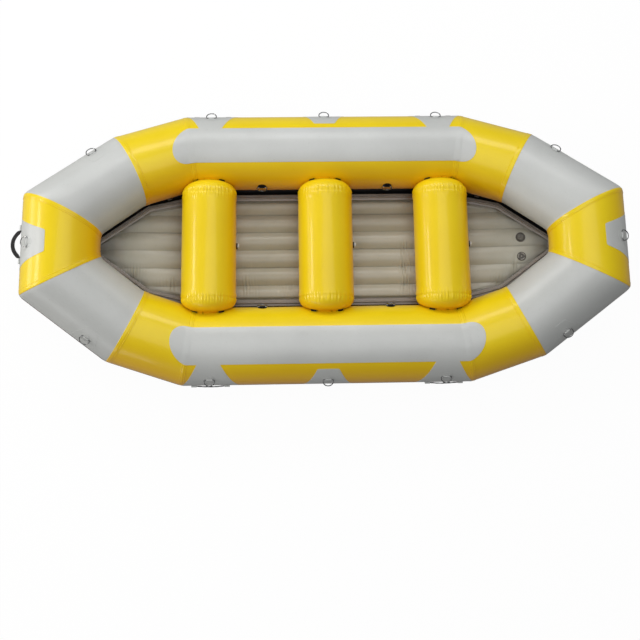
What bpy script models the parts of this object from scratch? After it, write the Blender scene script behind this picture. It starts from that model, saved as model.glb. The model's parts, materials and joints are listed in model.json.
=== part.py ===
# Whitewater raft: bow to +X, port side to +Y, +Z up, metres.
import math

import bmesh
import bpy
from mathutils import Matrix, Vector
from mathutils.geometry import delaunay_2d_cdt

# Driving sizes: buoyancy ring
TUBE_R = 0.25
SIDE_Y = 0.649
MID_HALF = 0.914
KNEE_X = 1.321
KNEE_Y = 0.514
KNEE_RISE = 0.067
CORNER_X = 1.722
CORNER_Y = 0.201
CORNER_RISE = 0.212
TUBE_SIDES = 36
FLAT_BELOW_DEG = 270.0
FABRIC = 0.0015
GAP = 0.0003

# Driving sizes: skins glued to the ring, angles from the outer side, upwards
PAD_OUTER_DEG = 60.0
PAD_INNER_DEG = 116.0
PAD_OVERRUN = 0.126
PAD_TO_FLARE = 0.150
FLARE_X = MID_HALF - PAD_TO_FLARE
FLARE_TOP_HALF = 0.073
FLARE_FOOT_HALF = 0.180
FLARE_FOOT_DEG = 9.0
FLARE_END_DEG = -8.0
SIDE_PATCH_TOP_DEG = 50.0
SIDE_PATCH_FOOT_DEG = 0.4
SIDE_PATCH_TOP_HALF = 0.070
SIDE_PATCH_FOOT_HALF = 0.160
END_PATCH_TOP_DEG = 65.0
END_PATCH_TOP_HALF = 0.068
END_PATCH_FOOT_HALF = 0.182
PATCH_T = 0.0012
WEAR_T = 0.0016
WEAR_OUTER_DEG = -15.0
WEAR_INNER_DEG = -165.0
STRAKE_TOP_DEG = -10.0
STRAKE_FOOT_DEG = -24.2
STRAKE_T = 0.0035
RIDGE_T = 0.0030
RIDGES_DEG = ((-13.1, -15.7), (-17.5, -20.6))

# Driving sizes: metal rings, handles and their glued bases
RING_WIRE_R = 0.003
RING_HALF_WIDTH = 0.033
RING_DEPTH = 0.047
RING_CORNER_R = 0.008
BASE_R = 0.036
BASE_T = 0.0012
SLEEVE_HALF = 0.019
SLEEVE_WALL = 0.0022
BAR_CLEAR = 0.0008
SIDE_RING_DEG = 31.0
PATCH_RING_DEG = 27.0
QUARTER_RING_DEG = 34.0
QUARTER_RING_S = 0.164
INNER_RING_DEG = 166.0
INNER_RING_PAST_BAY = 0.0355
RING_REST_DEG = -35.0
INNER_RING_REST_DEG = 250.0
HANDLE_HALF = 0.0885
HANDLE_DEPTH = 0.034
STERN_HANDLE_DEPTH = 0.060
HANDLE_WIDE = 0.021
HANDLE_THICK = 0.005
HANDLE_PIN_R = 0.0045
ANCHOR_HALF = 0.015
HANDLE_REST_DEG = -82.0
STERN_HANDLE_REST_DEG = -12.0

# Driving sizes: cross tubes
THWART_R = 0.187
THWART_INSET = 0.137
THWART_PITCH = MID_HALF - THWART_INSET
THWART_LIFT = 0.005
INNER_RING_X = THWART_PITCH / 2 + INNER_RING_PAST_BAY
THWART_SIDES = 24
THWART_DOME = 0.085
THWART_PRESS = 0.026
THWART_REACH = TUBE_R - THWART_PRESS
DOME_POWER = 2.5
DOME_RINGS = 3
THWART_CLEAR = 0.006
THWART_HOLE_R = 0.010

# Driving sizes: floor
FLOOR_DEG = 208.4
FLOOR_T = 0.115
FLOOR_END_RISE = 0.166
CHANNEL_PITCH = 0.1215
CHANNEL_DIP = 0.012
FLOOR_REACH = 0.061
FLOOR_EDGE = TUBE_R + FLOOR_REACH
EDGE_ROLL = 0.045
EDGE_SHARES = (0.3, 1.0)
EDGE_DEEP = 0.050
FLANGE_WIDE = 0.044
FLANGE_DROP = 0.005
FLANGE_T = 0.004
FLANGE_BEAD = 0.004
APRON_T = 0.0016
APRON_DEG = 6.0
APRON_CLEAR = 0.0009
APRON_STEPS = 4
END_TUCK = 0.088

# Driving sizes: valves
VALVE_X = 1.341
FLOOR_VALVE_Y = 0.058
RELIEF_VALVE_Y = -0.073
FLOOR_VALVE_R = 0.0345
RELIEF_VALVE_R = 0.0300
CAP_R = 0.022
CAP_T = 0.009
SEAT_R = 0.030
SEAT_T = 0.0030
CHAMBER_SEAT_R = 0.020
CHAMBER_CAP_R = 0.017
CHAMBER_VALVE_DEG = 200.5
CUP_FLOOR = 0.004
POCKET_DROP = 0.003
CUP_CLEAR = 0.003
VENTS = 6
VENT_R = 0.0030

LINEAR = 2.2


def clear_scene():
    for old in list(bpy.data.objects):
        bpy.data.objects.remove(old, do_unlink=True)


def material(name, rgb, rough, metallic=0.0, coat=0.0):
    mat = bpy.data.materials.new(name)
    mat.use_nodes = True
    shader = mat.node_tree.nodes["Principled BSDF"]
    colour = [(c / 255.0) ** LINEAR for c in rgb]
    shader.inputs["Base Color"].default_value = (*colour, 1.0)
    shader.inputs["Roughness"].default_value = rough
    shader.inputs["Metallic"].default_value = metallic
    shader.inputs["Coat Weight"].default_value = coat
    mat.diffuse_color = (*colour, 1.0)
    return mat


# Frames round the buoyancy ring: twelve straight tubes meeting in mitres
STERN_QUARTER, STERN_SHOULDER, MID, BOW_SHOULDER, BOW_QUARTER, BOW_END = range(6)
STERN_END = 11
CORNERS = (0, 5, 6, 11)


FACET_DEG = 360.0 / TUBE_SIDES
FIRST_DEG = FLAT_BELOW_DEG % FACET_DEG + FACET_DEG / 2
ROUND_DEGS = [FIRST_DEG + k * FACET_DEG for k in range(TUBE_SIDES)]
AXIS_Z = (TUBE_R + GAP + WEAR_T) * math.cos(math.radians(FACET_DEG / 2))
FLOOR_TOP = AXIS_Z + TUBE_R * math.sin(math.radians(FLOOR_DEG))
THWART_Z = FLOOR_TOP + THWART_LIFT + THWART_R


def ring_knots():
    port = [(CORNER_X, CORNER_Y, CORNER_RISE), (KNEE_X, KNEE_Y, KNEE_RISE), (MID_HALF, SIDE_Y, 0.0)]
    stern = [Vector((-x, y, AXIS_Z + rise)) for x, y, rise in port]
    bow = [Vector((x, y, AXIS_Z + rise)) for x, y, rise in reversed(port)]
    half = stern + bow
    return half + [Vector((p.x, -p.y, p.z)) for p in reversed(half)]


KNOTS = ring_knots()
COUNT = len(KNOTS)
DIRS = [(KNOTS[(i + 1) % COUNT] - KNOTS[i]).normalized() for i in range(COUNT)]


def carried_ups():
    ups = {MID: Vector((0.0, 0.0, 1.0))}
    for step in range(COUNT - 1):
        i = (MID + step) % COUNT
        j = (i + 1) % COUNT
        ups[j] = DIRS[i].rotation_difference(DIRS[j]) @ ups[i]
    return ups


UPS = carried_ups()


def spoke(seg, deg):
    along, up = DIRS[seg], UPS[seg]
    out = up.cross(along)
    a = math.radians(deg)
    return out * math.cos(a) + up * math.sin(a)


def facet_spoke(seg, deg):
    """Spoke that ends on the flat facets, so skins follow the tube exactly."""
    turns = (deg - FIRST_DEG) / FACET_DEG
    k = math.floor(turns + 1e-9)
    a = FIRST_DEG + k * FACET_DEG
    return spoke(seg, a).lerp(spoke(seg, a + FACET_DEG), turns - k)


def mitre_point(knot, deg, radius, seg=None, back=0.0):
    """Point at an angle and radius on the mitre plane of one knot, pulled back along its tube."""
    seg = knot if seg is None else seg
    normal = (DIRS[(knot - 1) % COUNT] + DIRS[knot]).normalized()
    along = DIRS[seg]
    arm = facet_spoke(seg, deg) * radius
    return KNOTS[knot] + arm - along * (arm.dot(normal) / along.dot(normal)) + along * back


def surface_point(seg, m, deg, radius):
    """Point on the unrolled side: m runs from the tube's middle and on past its mitres."""
    start, end = seg, (seg + 1) % COUNT
    middle = (KNOTS[start] + KNOTS[end]) / 2
    along = DIRS[seg]
    here = middle + along * m + facet_spoke(seg, deg) * radius
    for knot, sign, other in ((end, 1, end), (start, -1, (start - 1) % COUNT)):
        edge = mitre_point(knot, deg, radius, seg)
        past = (here - edge).dot(along) * sign
        if past > 0:
            return mitre_point(knot, deg, radius, other) + DIRS[other] * (sign * past)
    return here


def seam_m(seg, deg, radius, bow_end):
    knot = (seg + 1) % COUNT if bow_end else seg
    middle = (KNOTS[seg] + KNOTS[(seg + 1) % COUNT]) / 2
    return (mitre_point(knot, deg, radius, seg) - middle).dot(DIRS[seg])


def flat_deg(deg):
    """Angle of the middle of the flat facet that holds an angle."""
    return FIRST_DEG + (math.floor((deg - FIRST_DEG) / FACET_DEG) + 0.5) * FACET_DEG


def local_frame(seg, m, deg, lift):
    """Matrix on the skin: X along the tube, Z straight out, origin lifted off the fabric."""
    z = spoke(seg, flat_deg(deg))
    x = DIRS[seg]
    y = z.cross(x)
    spot = surface_point(seg, m, deg, TUBE_R) + z * lift
    return Matrix.Translation(spot) @ Matrix((x, y, z)).transposed().to_4x4()


# Mesh helpers
def link(mesh, name, mats):
    obj = bpy.data.objects.new(name, mesh)
    bpy.context.scene.collection.objects.link(obj)
    for mat in mats:
        obj.data.materials.append(mat)
    return obj


def finish(bm, name, mats, smooth_deg=30.0):
    bmesh.ops.recalc_face_normals(bm, faces=bm.faces)
    if bm.calc_volume(signed=True) < 0:
        bmesh.ops.reverse_faces(bm, faces=bm.faces)
    mesh = bpy.data.meshes.new(name)
    bm.to_mesh(mesh)
    bm.free()
    mesh.shade_smooth()
    mesh.set_sharp_from_angle(angle=math.radians(smooth_deg))
    return link(mesh, name, mats)


def lay_rings(bm, rings, closed_way=False, closed_ring=True, slots=None):
    """Skin rows of points into quads; the rows run one way, each row is a loop or a strip."""
    verts = [[bm.verts.new(p) for p in ring] for ring in rings]
    ways = len(verts) if closed_way else len(verts) - 1
    for i in range(ways):
        a, b = verts[i], verts[(i + 1) % len(verts)]
        n = len(a)
        for k in range(n if closed_ring else n - 1):
            face = bm.faces.new((a[k], a[(k + 1) % n], b[(k + 1) % n], b[k]))
            face.material_index = slots[k] if slots else 0
    return verts


def close_ends(bm, verts):
    bm.faces.new(list(reversed(verts[0])))
    bm.faces.new(verts[-1])


def circle(radius, sides, start=0.0):
    turn = 2 * math.pi / sides
    return [(radius * math.cos(start + k * turn), radius * math.sin(start + k * turn)) for k in range(sides)]


def turned(profile, sides, matrix):
    """Solid of revolution about local Z; the profile runs from axis to axis as (radius, height)."""
    bm = bmesh.new()
    rows = [[matrix @ Vector((x, y, z)) for x, y in circle(r, sides)] for r, z in profile[1:-1]]
    verts = lay_rings(bm, rows)
    for (r, z), row in ((profile[0], verts[0]), (profile[-1], verts[-1])):
        tip = bm.verts.new(matrix @ Vector((0.0, 0.0, z)))
        for k in range(sides):
            bm.faces.new((row[k], row[(k + 1) % sides], tip))
    return bm


def boolean(target, cutter, kind):
    """Apply one exact boolean and drop the other object."""
    mod = target.modifiers.new(kind, "BOOLEAN")
    mod.operation = kind
    mod.solver = "EXACT"
    mod.object = cutter
    cutter.hide_render = True
    cutter.display_type = "WIRE"
    graph = bpy.context.evaluated_depsgraph_get()
    mesh = bpy.data.meshes.new_from_object(target.evaluated_get(graph))
    target.modifiers.remove(mod)
    target.data = mesh
    bpy.data.objects.remove(cutter, do_unlink=True)
    return target


def join_bms(parts):
    whole = bmesh.new()
    for bm in parts:
        bmesh.ops.recalc_face_normals(bm, faces=bm.faces)
        mesh = bpy.data.meshes.new("part")
        bm.to_mesh(mesh)
        bm.free()
        whole.from_mesh(mesh)
        bpy.data.meshes.remove(mesh)
    return whole


def shade(obj, smooth_deg=30.0):
    obj.data.shade_smooth()
    obj.data.set_sharp_from_angle(angle=math.radians(smooth_deg))
    return obj


# Skins cut from sheet and glued on the tubes
def inside(point, loop):
    x, y = point
    hit = False
    for (x0, y0), (x1, y1) in zip(loop, loop[1:] + loop[:1]):
        if (y0 > y) != (y1 > y) and x < x0 + (y - y0) * (x1 - x0) / (y1 - y0):
            hit = not hit
    return hit


def skin(seg, outline, raised=(), base=GAP, thick=PATCH_T, radius=TUBE_R):
    """Sheet of even thickness over a tube, its outline in (m, degrees), with raised round patches."""
    scale = radius * math.pi / 180.0
    flat = [(m, deg * scale) for m, deg in outline]
    loops = [[(m, deg * scale) for m, deg in loop] for loop in raised]
    low, high = min(p[1] for p in flat), max(p[1] for p in flat)
    left, right = min(p[0] for p in flat) - 1.0, max(p[0] for p in flat) + 1.0
    points, edges = [], []

    def add_chain(chain, closed):
        first = len(points)
        points.extend(chain)
        edges.extend((first + k, first + k + 1) for k in range(len(chain) - 1))
        if closed:
            edges.append((first + len(chain) - 1, first))

    for loop in [flat] + loops:
        add_chain(loop, True)
    first = math.floor((low / scale - FIRST_DEG) / FACET_DEG)
    last = math.ceil((high / scale - FIRST_DEG) / FACET_DEG)
    lines = [FIRST_DEG + k * FACET_DEG for k in range(first, last + 1)]
    for deg in lines:
        add_chain([(left, deg * scale), (right, deg * scale)], False)
    for bow_end in (True, False):
        add_chain([(seam_m(seg, deg, radius, bow_end), deg * scale) for deg in lines], False)
    spots, _, tris, _, _, _ = delaunay_2d_cdt([Vector(p) for p in points], edges, [], 0, 1e-7)
    level = {}
    for tri in tris:
        mid = tuple(sum(spots[v][k] for v in tri) / 3 for k in (0, 1))
        if inside(mid, flat):
            level[tuple(tri)] = 2 if any(inside(mid, loop) for loop in loops) else 1
    lifts = {0: base, 1: base + thick, 2: base + thick + BASE_T}
    bm = bmesh.new()
    made = {}

    def vert(index, lev):
        if (index, lev) not in made:
            m, arc = spots[index]
            made[index, lev] = bm.verts.new(surface_point(seg, m, arc / scale, radius + lifts[lev]))
        return made[index, lev]

    sides = {}
    for tri, lev in level.items():
        bm.faces.new([vert(v, lev) for v in tri])
        bm.faces.new([vert(v, 0) for v in reversed(tri)])
        for a, b in zip(tri, tri[1:] + tri[:1]):
            sides[a, b] = lev
    for (a, b), lev in sides.items():
        across = sides.get((b, a), 0)
        if lev > across:
            bm.faces.new((vert(b, lev), vert(a, lev), vert(a, across), vert(b, across)))
    return bm


def round_loop(m, deg, radius, points=12):
    per_deg = TUBE_R * math.pi / 180.0
    return [(m + x, deg + y / per_deg) for x, y in circle(radius, points, math.pi / points)]


def sleeve(matrix, half, hole_r, drop):
    """Webbing tunnel along local X round a bar at the origin, its foot sunk into the base."""
    outer_r = hole_r + SLEEVE_WALL
    bm = bmesh.new()
    rows = []
    for x in (-half, half):
        shell, hole = [], []
        for c, s in circle(1.0, 8, math.pi / 8):
            hole.append(matrix @ Vector((x, c * hole_r, s * hole_r)))
            if s >= 0:
                shell.append(matrix @ Vector((x, c * outer_r, s * outer_r)))
            else:
                reach = min(outer_r / max(abs(c), 1e-6), drop / -s)
                shell.append(matrix @ Vector((x, c * reach, s * reach)))
        rows.append((shell, hole))
    order = [rows[0][0], rows[1][0], rows[1][1], rows[0][1]]
    lay_rings(bm, order, closed_way=True)
    return bm


SINK = 0.0006
RING_LIFT = GAP + PATCH_T + BASE_T + RING_WIRE_R + BAR_CLEAR
RING_HOLE_R = RING_WIRE_R + BAR_CLEAR
PIN_HOLE_R = HANDLE_PIN_R + BAR_CLEAR
HANDLE_LIFT = GAP + PATCH_T + PIN_HOLE_R
ANCHOR_MID = HANDLE_HALF + ANCHOR_HALF


def ring_spot(seg, m, deg):
    return local_frame(seg, m, deg, RING_LIFT)


def ring_sleeve(seg, m, deg):
    return sleeve(ring_spot(seg, m, deg), SLEEVE_HALF, RING_HOLE_R, RING_HOLE_R + SINK)


def handle_sleeves(seg, m):
    spot = local_frame(seg, m, 0.0, HANDLE_LIFT)
    sides = [spot @ Matrix.Translation((side * ANCHOR_MID, 0, 0)) for side in (-1, 1)]
    return [sleeve(place, ANCHOR_HALF, PIN_HOLE_R, PIN_HOLE_R + SINK) for place in sides]


def with_fittings(skin_bm, fittings, name, mat):
    obj = finish(skin_bm, name, [mat])
    if fittings:
        extra = finish(join_bms(fittings), name + "_fittings", [mat])
        boolean(obj, extra, "UNION")
    return shade(obj)


# Buoyancy ring
def tube(seg, name, mat, baffle=False):
    """One hollow tube between two mitres; a chamber's end tube has a fabric baffle at its start."""
    start, end = seg, (seg + 1) % COUNT
    degs = ROUND_DEGS
    trim = GAP / 2
    inner = TUBE_R - FABRIC
    bm = bmesh.new()
    outside = [[mitre_point(k, d, TUBE_R, seg, b) for d in degs] for k, b in ((start, trim), (end, -trim))]
    wall = FABRIC if baffle else 0.0
    cuts = ((end, -trim), (start, trim + wall))
    inside_rows = [[mitre_point(knot, deg, inner, seg, back) for deg in degs] for knot, back in cuts]
    verts = lay_rings(bm, outside + inside_rows, closed_way=not baffle)
    if baffle:
        close_ends(bm, verts)
    return finish(bm, name, [mat])


def swept(profile_at, knots, name, mats, slots=None, closed=False):
    bm = bmesh.new()
    rows = [profile_at(knot) for knot in knots]
    verts = lay_rings(bm, rows, closed_way=closed, slots=slots)
    if not closed:
        close_ends(bm, verts)
    return finish(bm, name, mats)


def wear_layer(first, last, name, mat, seats=()):
    """Black layer under the lower half, bent over the mitres between two knots."""
    count = round((WEAR_OUTER_DEG - WEAR_INNER_DEG) / FACET_DEG)
    degs = [WEAR_INNER_DEG + k * FACET_DEG for k in range(count + 1)]
    low, high = TUBE_R + GAP, TUBE_R + GAP + WEAR_T
    bm = bmesh.new()
    rows = []
    for k in range(first, last + 1):
        knot = k % COUNT
        seg = knot if k < last else (k - 1) % COUNT
        back = GAP / 2 if k == first else (-GAP / 2 if k == last else 0.0)
        row = [mitre_point(knot, d, high, seg, back) for d in degs]
        row += [mitre_point(knot, d, low, seg, back) for d in reversed(degs)]
        rows.append(row)
    close_ends(bm, lay_rings(bm, rows))
    obj = finish(bm, name, [mat])
    for seg in seats:
        boolean(obj, finish(valve_seat(seg), name + "_seat", [mat]), "UNION")
    return shade(obj)


def strake_profile(knot):
    """Rubbing strip: a flat strip with two raised ridges, stepped over the black layer's edge."""
    step_deg = WEAR_OUTER_DEG + 0.2
    under, over = GAP, 2 * GAP + WEAR_T
    top = over + STRAKE_T
    ridge = top + RIDGE_T
    points = [(STRAKE_TOP_DEG, under), (STRAKE_TOP_DEG, top)]
    for a, b in RIDGES_DEG:
        points += [(a + 0.2, top), (a, ridge), (b, ridge), (b - 0.2, top)]
    points += [(STRAKE_FOOT_DEG, top), (STRAKE_FOOT_DEG, over), (WEAR_OUTER_DEG, over)]
    points += [(step_deg, over), (step_deg, under)]
    return [mitre_point(knot, deg, TUBE_R + lift) for deg, lift in points]


def rub_strake(mats):
    slots = [0] * len(strake_profile(0))
    for first in (2, 6):
        for k in range(first, first + 3):
            slots[k] = 1
    return swept(strake_profile, range(COUNT), "rub_strake", mats, slots, closed=True)


# Glued skins and their fittings
def pad_outline():
    """Long pad with round ends and two flares running down the outer side."""
    per_deg = TUBE_R * math.pi / 180.0
    half = (PAD_INNER_DEG - PAD_OUTER_DEG) / 2 * per_deg
    mid_deg = (PAD_INNER_DEG + PAD_OUTER_DEG) / 2
    centre = MID_HALF + PAD_OVERRUN - half
    turn = [math.pi * k / 12 for k in range(13)]
    bow = [(centre + half * math.sin(a), mid_deg - half * math.cos(a) / per_deg) for a in turn]
    loop = []
    for x in (-FLARE_X, FLARE_X):
        loop += [(x - FLARE_TOP_HALF, PAD_OUTER_DEG), (x - FLARE_FOOT_HALF, FLARE_FOOT_DEG)]
        loop += [(x - FLARE_FOOT_HALF, FLARE_END_DEG), (x + FLARE_FOOT_HALF, FLARE_END_DEG)]
        loop += [(x + FLARE_FOOT_HALF, FLARE_FOOT_DEG), (x + FLARE_TOP_HALF, PAD_OUTER_DEG)]
    return loop + bow + [(-m, deg) for m, deg in reversed(bow)]


def chafe_pad(seg, name, mat):
    raised = [round_loop(x, SIDE_RING_DEG, BASE_R) for x in (-FLARE_X, FLARE_X)]
    fittings = []
    for x in (-FLARE_X, FLARE_X):
        fittings.append(ring_sleeve(seg, x, SIDE_RING_DEG))
        fittings += handle_sleeves(seg, x)
    return with_fittings(skin(seg, pad_outline(), raised), fittings, name, mat)


def tapered_patch(seg, name, mat, top, foot, ring_deg, handles=False):
    (top_half, top_deg), (foot_half, foot_deg) = top, foot
    outline = [(-top_half, top_deg), (-foot_half, foot_deg), (foot_half, foot_deg), (top_half, top_deg)]
    fittings = [ring_sleeve(seg, 0.0, ring_deg)]
    if handles:
        fittings += handle_sleeves(seg, 0.0)
    bm = skin(seg, outline, [round_loop(0.0, ring_deg, BASE_R)])
    return with_fittings(bm, fittings, name, mat)


def tube_fittings(obj, seg, spots, mat):
    """Round bases and tunnels welded straight on a tube's own fabric."""
    parts = []
    for m, deg in spots:
        base = skin(seg, round_loop(m, deg, BASE_R), base=-SINK, thick=SINK + GAP + PATCH_T + BASE_T)
        disc = finish(base, obj.name + "_base", [mat])
        parts.append(boolean(disc, finish(ring_sleeve(seg, m, deg), obj.name + "_tunnel", [mat]), "UNION"))
    for part in parts:
        boolean(obj, part, "UNION")
    return shade(obj)


# Metal rings and webbing handles
def swept_loop(path, section, closed):
    """Carry a section along a path; each station gives its point, side and top direction."""
    bm = bmesh.new()
    rows = [[spot + side * x + top * y for x, y in section(k)] for k, (spot, side, top) in enumerate(path)]
    verts = lay_rings(bm, rows, closed_way=closed)
    if not closed:
        close_ends(bm, verts)
    return bm


def ring_path():
    """D shape in the local XZ plane: straight bar on X, bow hanging towards +Z."""
    w, c = RING_HALF_WIDTH, RING_CORNER_R
    corner = [(w - c + c * math.sin(a), c - c * math.cos(a)) for a in (0.0, math.pi / 2)]
    turn = [math.pi * k / 6 for k in range(7)]
    bow = [(w * math.cos(a), RING_DEPTH - w + w * math.sin(a)) for a in turn]
    points = corner + bow + [(-x, z) for x, z in reversed(corner)]
    stations = []
    side = Vector((0.0, 1.0, 0.0))
    for k, (x, z) in enumerate(points):
        x0, z0 = points[k - 1]
        x1, z1 = points[(k + 1) % len(points)]
        way = Vector((x1 - x0, 0.0, z1 - z0)).normalized()
        stations.append((Vector((x, 0.0, z)), side, side.cross(way)))
    return stations


def metal_ring(seg, m, deg, rest_deg, name, mat):
    """Welded D ring hinged on its bar; it rests at an angle seen from the tube's outer side."""
    section = circle(RING_WIRE_R, 6, math.pi / 6)
    bm = swept_loop(ring_path(), lambda k: section, True)
    obj = finish(bm, name, [mat], 60.0)
    turn = Matrix.Rotation(math.radians(rest_deg - flat_deg(deg)), 4, "X")
    obj.matrix_world = ring_spot(seg, m, deg) @ turn
    return obj


def handle(seg, m, depth, rest_deg, name, mat):
    """Webbing handle: two pins in the anchors and a flat strap curved between them."""
    stations = 9
    span = HANDLE_HALF - 0.004
    side = Vector((0.0, 1.0, 0.0))
    path = []
    for k in range(1, stations - 1):
        f = 2.0 * k / (stations - 1) - 1.0
        z = depth * (1 - abs(f) ** 2.2)
        slope = -depth * 2.2 * abs(f) ** 1.2 * math.copysign(1.0, f) / span
        way = Vector((1.0, 0.0, slope)).normalized()
        path.append((Vector((f * span, 0.0, z)), side, way.cross(side)))
    tip = ANCHOR_MID + ANCHOR_HALF - 0.003
    straight = Vector((0.0, 0.0, 1.0))
    pins = [(Vector((x, 0.0, 0.0)), side, straight) for x in (-tip, -HANDLE_HALF, HANDLE_HALF, tip)]
    path = pins[:2] + path + pins[2:]

    def section(k):
        if k < 2 or k > len(path) - 3:
            return circle(HANDLE_PIN_R, 8)
        return [(x * HANDLE_THICK / 2, y * HANDLE_WIDE / 2) for x, y in circle(1.0, 8)]

    obj = finish(swept_loop(path, section, False), name, [mat], 40.0)
    turn = Matrix.Rotation(math.radians(rest_deg), 4, "X")
    obj.matrix_world = local_frame(seg, m, 0.0, HANDLE_LIFT) @ turn
    return obj


# Cross tubes
def dome_rows(radius, half, dome):
    """Radii and distances from pole to pole of a tube with soft square-shouldered ends."""
    rows = []
    for k in range(DOME_RINGS + 1):
        a = math.pi / 2 * k / DOME_RINGS
        r = radius * math.sin(a) ** (2 / DOME_POWER)
        y = half + dome * max(math.cos(a), 0.0) ** (2 / DOME_POWER)
        rows.append((r, y))
    return rows + [(r, -y) for r, y in reversed(rows)]


def side_cutter(radius, knots):
    """Solid over the three tubes along one side of the raft."""
    bm = bmesh.new()
    close_ends(bm, lay_rings(bm, [[mitre_point(knot, deg, radius) for deg in ROUND_DEGS] for knot in knots]))
    return finish(bm, "cutter", [])


def thwart_body(x, inset, clearance):
    """Domed tube across the raft, hollowed at both ends to sit against the side tubes."""
    centre = Matrix.Translation((x, 0, THWART_Z)) @ Matrix.Rotation(-math.pi / 2, 4, "X")
    half = SIDE_Y - THWART_REACH - THWART_DOME
    profile = dome_rows(THWART_R - inset, half, THWART_DOME - inset)
    body = finish(turned(profile, THWART_SIDES, centre), "thwart_body", [])
    for knots in (range(1, 5), range(7, 11)):
        boolean(body, side_cutter(TUBE_R + clearance, knots), "DIFFERENCE")
    return body


def flank_frame(x):
    turn = Matrix.Rotation(math.pi / 2, 4, "Y")
    return Matrix.Translation((x + THWART_R, 0, THWART_Z)) @ turn


def thwart(x, name, mat):
    shell = thwart_body(x, 0.0, THWART_CLEAR)
    shell.name = name
    shell.data.materials.append(mat)
    hollow = thwart_body(x, FABRIC, THWART_CLEAR + FABRIC)
    boolean(shell, hollow, "DIFFERENCE")
    frame = flank_frame(x)
    deep = 2 * SEAT_R * SEAT_R / THWART_R
    seat = [(0.0, -deep), (SEAT_R, -deep), (SEAT_R, SEAT_T), (0.0, SEAT_T)]
    boolean(shell, finish(turned(seat, 16, frame), "seat", [mat]), "UNION")
    bore = [(0.0, -2 * deep), (THWART_HOLE_R, -2 * deep), (THWART_HOLE_R, deep), (0.0, deep)]
    boolean(shell, finish(turned(bore, 10, frame), "bore", []), "DIFFERENCE")
    return shade(shell)


# Floor
def rise(x):
    """How far the floor has risen above its middle at a distance from amidships."""
    x = abs(x)
    if x <= MID_HALF:
        return 0.0
    if x <= KNEE_X:
        return KNEE_RISE * (x - MID_HALF) / (KNEE_X - MID_HALF)
    return KNEE_RISE + (FLOOR_END_RISE - KNEE_RISE) * (x - KNEE_X) / (CORNER_X - KNEE_X)


def plan_point(knot, inset, level=0.0):
    """Point inside the ring's plan at a knot, on the floor's level; the ends tuck under the tube."""
    p = KNOTS[knot]
    before, after = DIRS[(knot - 1) % COUNT], DIRS[knot]
    a = Vector((before.y, -before.x)).normalized()
    b = Vector((after.y, -after.x)).normalized()
    mitre = (a + b) / (1 + a.dot(b))
    if knot % COUNT in CORNERS:
        inset -= END_TUCK
    spot = Vector((p.x, p.y)) + mitre * inset
    return Vector((spot.x, spot.y, FLOOR_TOP + rise(spot.x) + level))


FLANGE_IN = FLOOR_EDGE - GAP
FLANGE_OUT = FLOOR_EDGE - FLANGE_WIDE


def flange_profile(knot):
    """Strip round the floor with a rolled bead along its middle."""
    middle = (FLANGE_IN + FLANGE_OUT) / 2
    bead = FLANGE_WIDE / 5
    top, foot = -FLANGE_DROP, -FLANGE_DROP - FLANGE_T
    points = [(FLANGE_OUT, top), (middle - bead, top), (middle, top + FLANGE_BEAD), (middle + bead, top)]
    points += [(FLANGE_IN, top), (FLANGE_IN, foot), (FLANGE_OUT, foot)]
    return [plan_point(knot, inset, level) for inset, level in points]


def meeting_deg(knot, radius, level):
    """Angle on the inner side at which the mitre's outline comes down to a level."""
    high, low = 180.0, 268.0
    for _ in range(30):
        deg = (high + low) / 2
        if mitre_point(knot, deg, radius).z > level:
            high = deg
        else:
            low = deg
    return (high + low) / 2


def apron_profile(station):
    """Black strip glued on the tube's inner side and drawn across to the floor's flange."""
    seg, share = station
    low = (TUBE_R + GAP + WEAR_T + APRON_CLEAR) / math.cos(math.radians(APRON_DEG / 2))
    edge = FLANGE_OUT - GAP
    drops = ((edge, -FLANGE_DROP), (edge - APRON_T, -FLANGE_DROP - APRON_T))
    knots = (seg, (seg + 1) % COUNT)
    ends = [[plan_point(knot, inset, level) for inset, level in drops] for knot in knots]
    layers = (low, low + APRON_T)
    tops = [[meeting_deg(knot, radius, spot.z) for radius, spot in zip(layers, end)]
            for knot, end in zip(knots, ends)]
    top, under = [a + (b - a) * share for a, b in zip(*tops)]
    row = []
    for deg, layer in ((under, 1), (top + APRON_DEG, 1), (top + APRON_DEG, 0), (top, 0)):
        radius = layers[layer] / facet_spoke(seg, deg).length
        first, last = seam_m(seg, deg, radius, False), seam_m(seg, deg, radius, True)
        row.append(surface_point(seg, first + (last - first) * share, deg, radius))
    return row + [a.lerp(b, share) for a, b in zip(*ends)]


def channel_dip(y):
    """Depth below a channel's crown: round tops between the sewn seams."""
    f = abs(y) / CHANNEL_PITCH
    across = (f - math.floor(f)) * 2 - 1
    return CHANNEL_DIP * across * across


def edge_distance(x, y, loop):
    best = 1.0
    for a, b in zip(loop, loop[1:] + loop[:1]):
        way = (b - a).normalized()
        side = Vector((x, y)) - a
        best = min(best, abs(side.cross(way)))
    return best


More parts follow.
